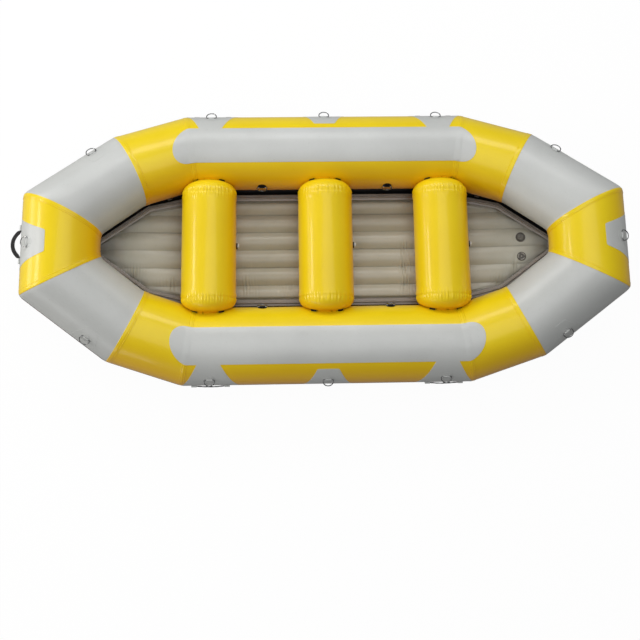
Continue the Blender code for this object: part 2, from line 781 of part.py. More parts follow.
def floor(mat):
    """Inflated floor: straight channels with sewn seams, cut to the ring's plan with a rolled edge."""
    loop = [plan_point(k, FLOOR_EDGE).to_2d() for k in range(COUNT)]
    insets = [[plan_point(k, FLOOR_EDGE + EDGE_ROLL * share).to_2d() for k in range(COUNT)]
              for share in EDGE_SHARES]
    points, edges = [], []

    def add_chain(chain, closed):
        first = len(points)
        points.extend(chain)
        edges.extend((first + k, first + k + 1) for k in range(len(chain) - 1))
        if closed:
            edges.append((first + len(chain) - 1, first))

    for ring in [loop] + insets:
        add_chain(ring, True)
    length = max(p.x for p in loop) + 1.0
    quarter = CHANNEL_PITCH / 4
    for k in range(-11, 12):
        add_chain([Vector((-length, k * quarter)), Vector((length, k * quarter))], False)
    for x in (-KNEE_X, -MID_HALF, -MID_HALF / 3, MID_HALF / 3, MID_HALF, KNEE_X):
        add_chain([Vector((x, -1.0)), Vector((x, 1.0))], False)
    spots, _, tris, _, _, _ = delaunay_2d_cdt(points, edges, [], 0, 1e-6)
    flat = [tuple(p) for p in loop]
    keep = [tri for tri in tris if inside([sum(spots[v][k] for v in tri) / 3 for k in (0, 1)], flat)]
    bm = bmesh.new()
    made = {}

    def vert(index, top):
        if (index, top) not in made:
            x, y = spots[index]
            near = min(edge_distance(x, y, loop) / EDGE_ROLL, 1.0)
            swell = math.sqrt(1 - (1 - near) ** 2)
            dip = channel_dip(y)
            if top:
                z = -FLANGE_DROP * (1 - swell) - dip * swell
            else:
                z = -EDGE_DEEP + (EDGE_DEEP - FLOOR_T + dip) * swell
            made[index, top] = bm.verts.new((x, y, FLOOR_TOP + rise(x) + z))
        return made[index, top]

    sides = set()
    for tri in keep:
        bm.faces.new([vert(v, True) for v in tri])
        bm.faces.new([vert(v, False) for v in reversed(tri)])
        sides.update(zip(tri, list(tri[1:]) + [tri[0]]))
    for a, b in sides:
        if (b, a) not in sides:
            bm.faces.new((vert(b, True), vert(a, True), vert(a, False), vert(b, False)))
    obj = finish(bm, "floor", [mat])
    for y, radius in ((FLOOR_VALVE_Y, FLOOR_VALVE_R), (RELIEF_VALVE_Y, RELIEF_VALVE_R)):
        wide = radius + GAP
        pocket = [(0.0, -GAP), (wide, -GAP), (wide, FLOOR_T), (0.0, FLOOR_T)]
        boolean(obj, finish(turned(pocket, 20, floor_frame(y)), "pocket", []), "DIFFERENCE")
    return shade(obj, 50.0)


# Valves
def seat_frame(seg):
    return local_frame(seg, 0.0, CHAMBER_VALVE_DEG, GAP + WEAR_T)


def valve_seat(seg):
    """Raised round seat moulded on the black layer for a chamber valve."""
    profile = [(0.0, -SINK), (CHAMBER_SEAT_R, -SINK), (CHAMBER_SEAT_R, SEAT_T), (0.0, SEAT_T)]
    return turned(profile, 16, seat_frame(seg))


def cap(frame, lift, radius, name, mat):
    """Screw cap with a bevelled rim and a raised thumb bar."""
    profile = [(0.0, 0.0), (radius, 0.0), (radius, CAP_T * 0.7), (radius * 0.88, CAP_T), (0.0, CAP_T)]
    obj = finish(turned(profile, 12, Matrix.Identity(4)), name, [mat])
    bar = bmesh.new()
    size = Matrix.Diagonal((radius * 1.5, radius * 0.22, CAP_T * 0.8, 1.0))
    bmesh.ops.create_cube(bar, size=1.0, matrix=Matrix.Translation((0, 0, CAP_T)) @ size)
    boolean(obj, finish(bar, "bar", [mat]), "UNION")
    obj.matrix_world = frame @ Matrix.Translation((0, 0, lift))
    return shade(obj)


def floor_frame(y):
    slope = (FLOOR_END_RISE - KNEE_RISE) / (CORNER_X - KNEE_X)
    tilt = Matrix.Rotation(-math.atan(slope), 4, "Y")
    return Matrix.Translation((VALVE_X, y, FLOOR_TOP + rise(VALVE_X) - POCKET_DROP)) @ tilt


def floor_valve(name, mat):
    """Screwed-in valve with a knurled rim, standing in a pocket of the floor."""
    rim_in = CAP_R + CUP_CLEAR
    profile = [(0.0, 0.0), (FLOOR_VALVE_R, 0.0), (FLOOR_VALVE_R, CAP_T * 0.6), (FLOOR_VALVE_R * 0.92, CAP_T)]
    profile += [(rim_in, CAP_T), (rim_in, CUP_FLOOR), (0.0, CUP_FLOOR)]
    obj = finish(turned(profile, 20, Matrix.Identity(4)), name, [mat])
    obj.matrix_world = floor_frame(FLOOR_VALVE_Y)
    return obj


def relief_valve(name, mat):
    """Pressure relief valve: a low round body with six vent holes in its cover."""
    rim = RELIEF_VALVE_R
    profile = [(0.0, 0.0), (rim, 0.0), (rim, CAP_T * 0.4), (rim * 0.9, CAP_T * 0.8)]
    profile += [(RELIEF_VALVE_R * 0.6, CAP_T), (0.0, CAP_T)]
    obj = finish(turned(profile, 20, Matrix.Identity(4)), name, [mat])
    for x, y in circle(RELIEF_VALVE_R * 0.42, VENTS):
        hole = [(0.0, CAP_T / 2), (VENT_R, CAP_T / 2), (VENT_R, CAP_T * 2), (0.0, CAP_T * 2)]
        vent = turned(hole, 6, Matrix.Translation((x, y, 0)))
        boolean(obj, finish(vent, name + "_vent", []), "DIFFERENCE")
    obj.matrix_world = floor_frame(RELIEF_VALVE_Y)
    return shade(obj)


def centre_length():
    """Move the raft so that the origin lies under the middle of its overall length."""
    bpy.context.view_layer.update()
    meshes = [obj for obj in bpy.data.objects if obj.type == "MESH"]
    spots = [(obj.matrix_world @ vert.co).x for obj in meshes for vert in obj.data.vertices]
    middle = (min(spots) + max(spots)) / 2
    for obj in meshes:
        obj.matrix_world = Matrix.Translation((-middle, 0, 0)) @ obj.matrix_world


def build():
    clear_scene()
    yellow = material("yellow_pvc", (232, 205, 30), 0.28, coat=0.3)
    grey = material("grey_pvc", (188, 190, 186), 0.36)
    black = material("black_pvc", (22, 23, 25), 0.42)
    red = material("red_rubber", (196, 38, 52), 0.45)
    taupe = material("floor_pvc", (150, 140, 122), 0.40)
    strip = material("flange_pvc", (118, 106, 98), 0.32)
    steel = material("stainless_steel", (190, 190, 188), 0.25, 1.0)
    webbing = material("black_webbing", (20, 20, 22), 0.7)
    plastic = material("valve_plastic", (112, 110, 104), 0.5)
    tube_mats = {STERN_QUARTER: grey, BOW_QUARTER: grey}
    tube_mats.update({STERN_SHOULDER: yellow, MID: yellow, BOW_SHOULDER: yellow})
    tube_names = {STERN_QUARTER: "stern_quarter", STERN_SHOULDER: "stern_shoulder", MID: "mid",
                  BOW_SHOULDER: "bow_shoulder", BOW_QUARTER: "bow_quarter"}
    sides = {"port": lambda seg: seg, "star": lambda seg: COUNT - 2 - seg}
    for side, at in sides.items():
        for seg, part in tube_names.items():
            chamber_end = seg in (STERN_SHOULDER, BOW_QUARTER)
            obj = tube(at(seg), f"tube_{side}_{part}", tube_mats[seg], baffle=chamber_end)
            if seg in (STERN_QUARTER, BOW_QUARTER):
                reach = (KNOTS[1] - KNOTS[0]).length / 2 - QUARTER_RING_S
                m = reach if at(seg) in (STERN_QUARTER, COUNT - 2 - BOW_QUARTER) else -reach
                tube_fittings(obj, at(seg), [(m, QUARTER_RING_DEG)], tube_mats[seg])
                metal_ring(at(seg), m, QUARTER_RING_DEG, RING_REST_DEG, f"ring_{side}_{part}", steel)
            if seg == MID:
                spots = [(x, INNER_RING_DEG) for x in (-INNER_RING_X, INNER_RING_X)]
                tube_fittings(obj, at(seg), spots, tube_mats[seg])
                for (m, deg), spot in zip(spots, ("a", "b")):
                    metal_ring(at(seg), m, deg, INNER_RING_REST_DEG, f"ring_{side}_inner_{spot}", steel)
        seats = [at(STERN_SHOULDER), at(BOW_SHOULDER)]
        first = 0 if side == "port" else COUNT // 2
        wear_layer(first, first + 5, f"wear_layer_{side}", black, seats)
        for seg, part in zip(seats, ("stern", "bow")):
            cap(seat_frame(seg), SEAT_T + GAP, CHAMBER_CAP_R, f"valve_cap_{side}_{part}", plastic)
        chafe_pad(at(MID), f"chafe_pad_{side}", grey)
        top, foot = (SIDE_PATCH_TOP_HALF, SIDE_PATCH_TOP_DEG), (SIDE_PATCH_FOOT_HALF, SIDE_PATCH_FOOT_DEG)
        tapered_patch(at(MID), f"side_patch_{side}", grey, top, foot, PATCH_RING_DEG)
        metal_ring(at(MID), 0.0, PATCH_RING_DEG, RING_REST_DEG, f"ring_{side}_mid", steel)
        for m, spot in ((-FLARE_X, "a"), (FLARE_X, "b")):
            metal_ring(at(MID), m, SIDE_RING_DEG, RING_REST_DEG, f"ring_{side}_side_{spot}", steel)
            handle(at(MID), m, HANDLE_DEPTH, HANDLE_REST_DEG, f"handle_{side}_{spot}", webbing)
    for part, seg in (("bow", BOW_END), ("stern", STERN_END)):
        tube(seg, f"tube_{part}_end", yellow)
        wear_layer(seg, seg + 1, f"wear_layer_{part}", black)
        top, foot = (END_PATCH_TOP_HALF, END_PATCH_TOP_DEG), (END_PATCH_FOOT_HALF, FLARE_END_DEG)
        tapered_patch(seg, f"end_patch_{part}", grey, top, foot, QUARTER_RING_DEG, handles=part == "stern")
        metal_ring(seg, 0.0, QUARTER_RING_DEG, RING_REST_DEG, f"ring_{part}", steel)
    handle(STERN_END, 0.0, STERN_HANDLE_DEPTH, STERN_HANDLE_REST_DEG, "handle_stern", webbing)
    rub_strake([black, red])
    for k, part in ((-1, "stern"), (0, "mid"), (1, "bow")):
        x = k * THWART_PITCH
        thwart(x, f"thwart_{part}", yellow)
        cap(flank_frame(x), SEAT_T + GAP, CAP_R, f"thwart_cap_{part}", plastic)
    floor(taupe)
    floor_valve("floor_valve", plastic)
    cap(floor_frame(FLOOR_VALVE_Y), CUP_FLOOR + GAP, CAP_R, "floor_valve_cap", plastic)
    relief_valve("relief_valve", plastic)
    swept(flange_profile, range(COUNT), "floor_flange", [strip], closed=True)
    stations = [(seg, step / APRON_STEPS) for seg in range(COUNT) for step in range(APRON_STEPS)]
    swept(apron_profile, stations, "floor_apron", [black], closed=True)
    centre_length()


build()
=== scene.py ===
import json
import math

import bmesh
import bpy
import numpy as np
from mathutils import Matrix, Vector


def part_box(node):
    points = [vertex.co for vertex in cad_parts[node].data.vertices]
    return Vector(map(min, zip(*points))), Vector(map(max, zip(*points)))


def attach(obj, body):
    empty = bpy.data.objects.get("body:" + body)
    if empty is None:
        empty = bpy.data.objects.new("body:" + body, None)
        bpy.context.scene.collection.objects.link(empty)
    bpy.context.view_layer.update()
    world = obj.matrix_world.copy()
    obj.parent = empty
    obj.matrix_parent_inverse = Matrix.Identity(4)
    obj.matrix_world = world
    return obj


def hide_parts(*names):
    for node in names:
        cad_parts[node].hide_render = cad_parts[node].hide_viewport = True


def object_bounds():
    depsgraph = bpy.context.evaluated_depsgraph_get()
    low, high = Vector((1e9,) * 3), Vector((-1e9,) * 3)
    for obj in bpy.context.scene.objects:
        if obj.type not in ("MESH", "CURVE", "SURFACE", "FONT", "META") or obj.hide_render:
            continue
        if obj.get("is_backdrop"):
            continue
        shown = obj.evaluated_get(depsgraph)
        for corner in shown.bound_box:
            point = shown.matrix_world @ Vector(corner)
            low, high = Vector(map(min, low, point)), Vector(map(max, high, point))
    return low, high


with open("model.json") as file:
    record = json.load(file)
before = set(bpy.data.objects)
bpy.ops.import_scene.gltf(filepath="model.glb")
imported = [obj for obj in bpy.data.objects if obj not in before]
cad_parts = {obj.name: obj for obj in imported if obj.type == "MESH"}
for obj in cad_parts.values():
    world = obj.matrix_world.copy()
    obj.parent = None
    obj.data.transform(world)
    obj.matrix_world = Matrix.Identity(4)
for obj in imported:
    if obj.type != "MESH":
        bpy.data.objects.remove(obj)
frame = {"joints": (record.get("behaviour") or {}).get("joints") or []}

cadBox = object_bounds()
scene = bpy.context.scene
rng = np.random.default_rng(7)

# driving sizes of the buoyancy ring, in metres; the frame gives where amidships lies
raft = {
    "tubeRadius": 0.25, "axisHeight": 0.25094, "sideY": 0.649, "midHalf": 0.914,
    "kneeX": 1.321, "kneeY": 0.514, "kneeRise": 0.067,
    "cornerX": 1.722, "cornerY": 0.201, "cornerRise": 0.212,
    "crease": {"mid": 0.010, "knee": 0.010, "corner": 0.011},   # how softly the fabric turns at each mitre
    "tapeWide": 0.034, "tapeThick": 0.0017,
    "deckDeg": 208.4,                     # where round the middle tubes the floor's top stands
}
sink = 0.0002                             # how deep a glued piece reaches into the skin under it
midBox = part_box("tube_port_mid")
midX = (midBox[0][0] + midBox[1][0]) / 2
tubeR = raft["tubeRadius"]
perDeg = tubeR * math.pi / 180            # arc length of one degree on a tube
jointOf = {j["child"]: j for j in frame["joints"]}


# Colours and nodes
def linearColour(hexCode):
    # sRGB hex code to the linear colour that a socket takes
    c = np.array([int(hexCode[k:k + 2], 16) for k in (0, 2, 4)]) / 255
    lin = np.where(c <= 0.04045, c / 12.92, ((c + 0.055) / 1.055) ** 2.4)
    return (*lin.tolist(), 1.0)


def feed(tree, node, inputs):
    # each input takes a value or another node's socket
    for key, value in inputs.items():
        if isinstance(value, bpy.types.NodeSocket):
            tree.links.new(value, node.inputs[key])
        else:
            node.inputs[key].default_value = value


def addNode(tree, kind, inputs=None, out=0, stops=(), **settings):
    # one node with its settings, inputs and ramp stops; hands back one of its output sockets
    node = tree.nodes.new("ShaderNode" + kind)
    for key, value in settings.items():
        setattr(node, key, value)
    feed(tree, node, inputs or {})
    if stops:
        ramp = node.color_ramp.elements
        while len(ramp) < len(stops):
            ramp.new(0.5)
        for element, (place, code) in zip(ramp, stops):
            element.position = place
            element.color = linearColour(code)
    return node.outputs[out]


def startMaterial(name, inputs):
    mat = bpy.data.materials.new(name)
    mat.use_nodes = True
    shader = mat.node_tree.nodes["Principled BSDF"]
    feed(mat.node_tree, shader, inputs)
    return mat, mat.node_tree, shader


paintedLightSide = (-0.30, 0.42, 0.86)           # painted light and shade: the direction of the far-side and left lamps, aft, port and up; surfaces facing it get the lit tone


def coatedFabric(name, look):
    # polyester cloth between two calendered PVC films: a soft tone drift, specks of dust, a faint print of
    # the threads through the film, and scuffs that dull the lacquer
    mat, tree, shader = startMaterial(name, {
        "Coat Weight": look["coat"], "Coat Roughness": look["coatRough"], "IOR": 1.52,
        "Specular IOR Level": look.get("shine", 0.5)})
    place = addNode(tree, "TexCoord", out="Object")
    drift = addNode(tree, "TexNoise", {"Vector": place, "Scale": 2.3, "Detail": 4.0, "Roughness": 0.55})
    tone = addNode(tree, "ValToRGB", {"Fac": drift}, stops=[(0.32, look["dark"]), (0.68, look["light"])])
    fine = addNode(tree, "TexNoise", {"Vector": place, "Scale": 70.0, "Detail": 5.0, "Roughness": 0.7})
    speck = addNode(tree, "ValToRGB", {"Fac": fine}, stops=[(0.60, "ffffff"), (0.82, look["speck"])])
    if "side" in look:
        # painted shade: surfaces turned away from the lamps' side get a deeper orange yellow, those facing it
        # the paler lit tone
        normal = addNode(tree, "NewGeometry", out="Normal")
        facing = addNode(tree, "VectorMath", {0: normal, 1: paintedLightSide}, out="Value", operation="DOT_PRODUCT")
        paintedLitShare = addNode(tree, "MapRange", {"Value": facing, "From Min": look["paintedLitShare"][0],
                                           "From Max": look["paintedLitShare"][1]})
        tone = addNode(tree, "Mix", {0: paintedLitShare, 6: linearColour(look["side"]), 7: tone}, out=2,
                       data_type="RGBA")
    base = addNode(tree, "Mix", {0: 0.8, 6: tone, 7: speck}, out=2, data_type="RGBA", blend_type="MULTIPLY")
    if "siltAndShade" in look:
        # silt along the sewn seams, and painted shade under the rim and up in the two noses, where the tubes
        # shade the floor
        siltAndShadeShare = addNode(tree, "Attribute", out="Fac", attribute_name="siltAndShade")
        blotch = addNode(tree, "TexNoise", {"Vector": place, "Scale": 9.0, "Detail": 5.0})
        broken = addNode(tree, "MapRange", {"Value": blotch, "From Min": 0.3, "From Max": 0.7,
                                            "To Min": 0.75})
        much = addNode(tree, "Math", {0: siltAndShadeShare, 1: broken}, operation="MULTIPLY")
        base = addNode(tree, "Mix", {0: much, 6: base, 7: linearColour(look["siltAndShade"])}, out=2,
                       data_type="RGBA")
    # scuffs: long thin scratches stretched along the tubes
    along = addNode(tree, "Mapping", {"Vector": place, "Scale": (5.0, 38.0, 38.0)})
    scuff = addNode(tree, "TexNoise", {"Vector": along, "Scale": 1.6, "Detail": 8.0, "Roughness": 0.62})
    worn = addNode(tree, "MapRange", {"Value": scuff, "From Min": 0.50, "From Max": 0.74,
                                      "To Min": look["rough"], "To Max": look["rough"] + look["scuff"]})
    # threads: two crossed ribs, two threads to a pitch
    weaveUv = addNode(tree, "UVMap", uv_map="fabric")
    ribs = []
    for axis in ("X", "Y"):
        part = addNode(tree, "SeparateXYZ", {"Vector": weaveUv}, out=axis)
        turn = addNode(tree, "Math", {0: part, 1: 2 * math.pi / look["pitch"]}, operation="MULTIPLY")
        ribs.append(addNode(tree, "Math", {0: turn}, operation="SINE"))
    threads = addNode(tree, "Math", {0: ribs[0], 1: ribs[1]}, operation="MULTIPLY")
    weave = addNode(tree, "Bump", {"Height": threads, "Strength": look["weave"], "Distance": 0.0002})
    slack = addNode(tree, "TexNoise", {"Vector": place, "Scale": look["slackScale"], "Detail": 3.0})
    soft = addNode(tree, "Bump", {"Height": slack, "Strength": look["slack"], "Distance": 0.004,
                                  "Normal": weave})
    feed(tree, shader, {"Base Color": base, "Roughness": worn, "Normal": soft})
    return mat


# each coated fabric: hex colours of its film, its gloss, and the pitch of two threads in metres; a thread is
# 1.1 mm, drawn twice as coarse so that it shows
taut = {"scuff": 0.05, "weave": 0.08, "pitch": 0.0044, "slack": 0.04, "slackScale": 7.0}
bilge = {"weave": 0.20, "pitch": 0.0050, "slackScale": 14.0, "coatRough": 0.3}
fabricLooks = {
    # the side colour is painted shade, laid on surfaces turned away from the lamps, and the pair after it
    # sets how far it reaches
    "yellow": {**taut, "dark": "e7c908", "light": "ecd00c", "speck": "f3ecca", "side": "eba400",
               "paintedLitShare": (-0.45, 0.78), "rough": 0.36, "shine": 0.36, "coat": 0.26, "coatRough": 0.09},
    "crossYellow": {**taut, "dark": "eac908", "light": "efd00c", "speck": "f3ecca", "side": "f2b000",
                    "paintedLitShare": (-0.32, 0.66), "rough": 0.38, "shine": 0.34, "coat": 0.30, "coatRough": 0.08},
    "grey": {**taut, "dark": "bbbdbb", "light": "c4c6c4", "speck": "e0deda", "rough": 0.36, "scuff": 0.06,
             "coat": 0.10, "coatRough": 0.28, "weave": 0.10},
    "black": {"dark": "0c0d0e", "light": "121315", "speck": "8f8d88", "shine": 0.16, "rough": 0.40,
              "scuff": 0.16, "coat": 0.0, "coatRough": 0.3, "weave": 0.25, "pitch": 0.0050, "slack": 0.12,
              "slackScale": 9.0},
    # the silt colour also serves as the painted shade under the rim and at the noses
    "floor": {**bilge, "dark": "a8a593", "light": "bbb9aa", "speck": "dcd8cc", "siltAndShade": "4a463c",
              "rough": 0.34, "scuff": 0.14, "coat": 0.08, "slack": 0.22},
    "flange": {**bilge, "dark": "7c7369", "light": "8d847a", "speck": "bdb8ae", "rough": 0.26, "scuff": 0.10,
               "coat": 0.30, "slack": 0.16},
}
# each finish: a material and the slot of the part that it stands for
finishes = {key: (coatedFabric(key + "CalenderedPvc", look), key + "_pvc")
            for key, look in fabricLooks.items()}
finishes["crossYellow"] = (finishes["crossYellow"][0], "yellow_pvc")


def extrudedRubber(name):
    # ribbed rubbing strip: extruded rubber, satin, with fine lengthwise die lines and chalky bloom
    mat, tree, shader = startMaterial(name, {"IOR": 1.5})
    place = addNode(tree, "TexCoord", out="Object")
    bloom = addNode(tree, "TexNoise", {"Vector": place, "Scale": 11.0, "Detail": 6.0, "Roughness": 0.6})
    uv = addNode(tree, "UVMap", uv_map="fabric")
    lines = addNode(tree, "Mapping", {"Vector": uv, "Scale": (0.4, 900.0, 1.0)})
    die = addNode(tree, "TexNoise", {"Vector": lines, "Scale": 1.0, "Detail": 2.0})
    feed(tree, shader, {
        "Base Color": addNode(tree, "ValToRGB", {"Fac": bloom},
                              stops=[(0.3, "b41f30"), (0.6, "c8303f"), (0.8, "d4606a")]),
        "Roughness": addNode(tree, "MapRange", {"Value": bloom, "To Min": 0.34, "To Max": 0.52}),
        "Normal": addNode(tree, "Bump", {"Height": die, "Strength": 0.25, "Distance": 0.0004})})
    return mat


def wovenWebbing(name):
    # polypropylene webbing: 3 mm herringbone ribs that turn every 7 mm, matt with a sheen of fibres
    mat, tree, shader = startMaterial(name, {"Sheen Weight": 0.05, "Sheen Roughness": 0.4, "IOR": 1.45,
                                             "Roughness": 0.62})
    uv = addNode(tree, "UVMap", uv_map="fabric")
    along, across = (addNode(tree, "SeparateXYZ", {"Vector": uv}, out=axis) for axis in ("X", "Y"))
    zig = addNode(tree, "Math", {0: across, 1: 0.007}, operation="PINGPONG")
    lean = addNode(tree, "Math", {0: along, 1: zig}, operation="ADD")
    turn = addNode(tree, "Math", {0: lean, 1: 2 * math.pi / 0.003}, operation="MULTIPLY")
    ribs = addNode(tree, "Math", {0: turn}, operation="SINE")
    feed(tree, shader, {
        "Base Color": addNode(tree, "ValToRGB", {"Fac": ribs}, stops=[(0.2, "0b0b0c"), (0.9, "19191b")]),
        "Normal": addNode(tree, "Bump", {"Height": ribs, "Strength": 0.6, "Distance": 0.0005})})
    return mat


def grainedSolid(name, look):
    # one noise moves the tone and the gloss together, another raises the grain
    mat, tree, shader = startMaterial(name, look["base"])
    place = addNode(tree, "TexCoord", out="Object")
    drift = addNode(tree, "TexNoise", {"Vector": place, "Scale": look["drift"], "Detail": 4.0})
    grain = addNode(tree, "TexNoise", {"Vector": place, "Scale": look["grain"], "Detail": look["detail"]})
    low, high = look["rough"]
    feed(tree, shader, {
        "Base Color": addNode(tree, "ValToRGB", {"Fac": drift},
                              stops=[(0.3, look["tones"][0]), (0.7, look["tones"][1])]),
        "Roughness": addNode(tree, "MapRange", {"Value": drift, "To Min": low, "To Max": high}),
        "Normal": addNode(tree, "Bump", {"Height": grain, "Strength": look["bump"],
                                         "Distance": look["deep"]})})
    return mat


finishes["rubber"] = (extrudedRubber("redExtrudedRubber"), "red_rubber")
finishes["webbing"] = (wovenWebbing("blackWovenWebbing"), "black_webbing")
# stainless wire, bent, welded and tumbled: bright with short polishing marks
tumbled = {"base": {"Metallic": 1.0}, "tones": ("646566", "a6a7a7"), "drift": 420.0, "grain": 420.0,
           "detail": 4.0, "rough": (0.05, 0.10), "bump": 0.15, "deep": 0.0002}
finishes["steel"] = (grainedSolid("tumbledStainless", tumbled), "stainless_steel")
# glass-filled nylon from an injection mould: fine spark-eroded grain, satin
moulded = {"base": {"IOR": 1.53}, "drift": 40.0, "grain": 900.0, "detail": 2.0, "rough": (0.36, 0.52),
           "bump": 0.2, "deep": 0.0003}
nylonTones = {"dark": ("4b4943", "5c5952"), "light": ("86827a", "9a968c"), "grey": ("646159", "79756c"),
              "pale": ("bdbcb6", "cbcac4"), "black": ("17181a", "222326")}
for key, tones in nylonTones.items():
    nylon = grainedSolid(key + "MouldedNylon", {**moulded, "tones": tones})
    finishes[key + "Nylon"] = (nylon, "valve_plastic")
print("materials ready")


# Surfaces: each is a dictionary of points, loops, face sizes and UVs in metres
def unit(v):
    return v / np.linalg.norm(v, axis=-1, keepdims=True)


def softStep(x):
    # 0 to 1 as x goes from well below to well above zero
    return 1 / (1 + np.exp(-np.clip(x, -60, 60)))


def bell(x, middle, spread):
    return np.exp(-((x - middle) / spread) ** 2)


def runLength(points):
    # distance along a line of points, from the first
    return np.concatenate([[0], np.cumsum(np.linalg.norm(np.diff(points, axis=0), axis=1))])


def flatGrid(u, v):
    return np.stack(np.meshgrid(u, v, indexing="ij"), -1)


def gridSurface(points, uv=None, wrapRows=False, wrapCols=False, turn=False):
    # quads (i, j) (i+1, j) (i+1, j+1) (i, j+1) over a grid of points, closed round where it wraps
    rows, cols = points.shape[:2]
    if uv is None:
        step = np.linalg.norm(np.diff(points, axis=0), axis=-1).mean(1)
        side = np.linalg.norm(np.diff(points, axis=1), axis=-1).mean(0)
        uv = flatGrid(np.append(0, np.cumsum(step)), np.append(0, np.cumsum(side)))
    i = np.arange(rows if wrapRows else rows - 1)[:, None]
    j = np.arange(cols if wrapCols else cols - 1)[None, :]
    spots = ((i, j), (i + 1, j), (i + 1, j + 1), (i, j + 1))
    uMost, vMost = uv.shape[0] - 1, uv.shape[1] - 1
    quads = np.stack([a % rows * cols + b % cols for a, b in spots], -1)
    corners = np.stack([uv[np.minimum(a, uMost), np.minimum(b, vMost)] for a, b in spots], -2)
    if turn:
        quads, corners = quads[..., ::-1], corners[..., ::-1, :]
    return {"points": points.reshape(-1, 3), "loops": quads.ravel(), "sizes": np.full(quads.size // 4, 4),
            "uv": corners.reshape(-1, 2)}


def fanSurface(ring, turn=False):
    # triangles from a ring of points to its middle
    n = len(ring)
    k = np.arange(n)
    tris = np.stack([k, (k + 1) % n, np.full(n, n)], -1)
    if turn:
        tris = tris[:, ::-1]
    return {"points": np.vstack([ring, ring.mean(0)]), "loops": tris.ravel(), "sizes": np.full(n, 3),
            "uv": np.zeros((n * 3, 2))}


def shellSurfaces(outer, inner, uv=None):
    # a closed skin: the outer grid, the inner grid turned round, and strips along their four borders
    borders = [(outer[0], inner[0], False), (outer[-1], inner[-1], True),
               (outer[:, 0], inner[:, 0], True), (outer[:, -1], inner[:, -1], False)]
    return [gridSurface(outer, uv), gridSurface(inner, uv, turn=True)] + \
        [gridSurface(np.stack([top, foot]), turn=turn) for top, foot, turn in borders]


def cappedSurfaces(grid, uv=None):
    # a grid closed round its columns, with a fan over each open end
    return [gridSurface(grid, uv, wrapCols=True), fanSurface(grid[0]), fanSurface(grid[-1], turn=True)]


def makePiece(name, parts, finish, body="hull", replaced=(), weld=1e-5, sharp=38.0):
    # join the surfaces into one mesh, merge their shared borders, turn faces out and shade smooth
    mat, slot = finishes[finish]
    start = np.cumsum([0] + [len(p["points"]) for p in parts])
    points = np.vstack([p["points"] for p in parts])
    loops = np.concatenate([p["loops"] + s for p, s in zip(parts, start)])
    sizes = np.concatenate([p["sizes"] for p in parts])
    uv = np.vstack([p["uv"] for p in parts])
    mesh = bpy.data.meshes.new(name)
    mesh.vertices.add(len(points))
    mesh.vertices.foreach_set("co", points.astype(np.float32).ravel())
    mesh.loops.add(len(loops))
    mesh.loops.foreach_set("vertex_index", loops.astype(np.int32))
    mesh.polygons.add(len(sizes))
    mesh.polygons.foreach_set("loop_start", (np.cumsum(sizes) - sizes).astype(np.int32))
    mesh.uv_layers.new(name="fabric").data.foreach_set("uv", uv.astype(np.float32).ravel())
    mesh.update(calc_edges=True)
    bm = bmesh.new()
    bm.from_mesh(mesh)
    bmesh.ops.remove_doubles(bm, verts=bm.verts, dist=weld)
    bmesh.ops.dissolve_degenerate(bm, edges=bm.edges, dist=1e-7)
    bmesh.ops.recalc_face_normals(bm, faces=bm.faces)
    if bm.calc_volume(signed=True) < 0:
        bmesh.ops.reverse_faces(bm, faces=bm.faces)
    bm.to_mesh(mesh)
    bm.free()
    mesh.shade_smooth()
    mesh.set_sharp_from_angle(angle=math.radians(sharp))
    mesh.materials.append(mat)
    piece = bpy.data.objects.new(name, mesh)
    scene.collection.objects.link(piece)
    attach(piece, body)
    if replaced:
        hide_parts(*replaced)
    return piece


# The ring's shape: twelve straight tubes, each with its axis, its own up and its two mitres
sternPort = [(-raft["cornerX"], raft["cornerY"], raft["cornerRise"]),
             (-raft["kneeX"], raft["kneeY"], raft["kneeRise"]), (-raft["midHalf"], raft["sideY"], 0.0)]
portKnots = sternPort + [(-x, y, z) for x, y, z in reversed(sternPort)]
starKnots = [(x, -y, z) for x, y, z in reversed(portKnots)]
knots = np.array(portKnots + starKnots) + (midX, 0.0, raft["axisHeight"])
tubeCount = len(knots)
spans = np.roll(knots, -1, axis=0) - knots
middles = (knots + np.roll(knots, -1, axis=0)) / 2
lengths = np.linalg.norm(spans, axis=1)
dirs = unit(spans)
ups = np.zeros((tubeCount, 3))
ups[2] = (0, 0, 1)
knotKinds = ["corner", "knee", "mid", "mid", "knee", "corner"] * 2
creases = [raft["crease"][kind] for kind in knotKinds]
for step in range(tubeCount - 1):
    here, there = (2 + step) % tubeCount, (3 + step) % tubeCount
    turn = Vector(dirs[here]).rotation_difference(Vector(dirs[there]))
    ups[there] = turn @ Vector(ups[here])


def spoke(seg, deg):
    # unit arm at an angle round one tube: outward x cosine + up x sine
    a = np.radians(np.asarray(deg, float))[..., None]
    return np.cross(ups[seg], dirs[seg]) * np.cos(a) + ups[seg] * np.sin(a)


def seamAt(seg, deg, atEnd):
    # distance from the tube's middle to its mitre, at an angle: half length - R (arm . n) / (axis . n)
    other = (seg + 1) % tubeCount if atEnd else seg - 1
    normal = unit(dirs[seg] + dirs[other])
    reach = lengths[seg] / 2 * (1 if atEnd else -1)
    return reach - tubeR * (spoke(seg, deg) @ normal) / (dirs[seg] @ normal)


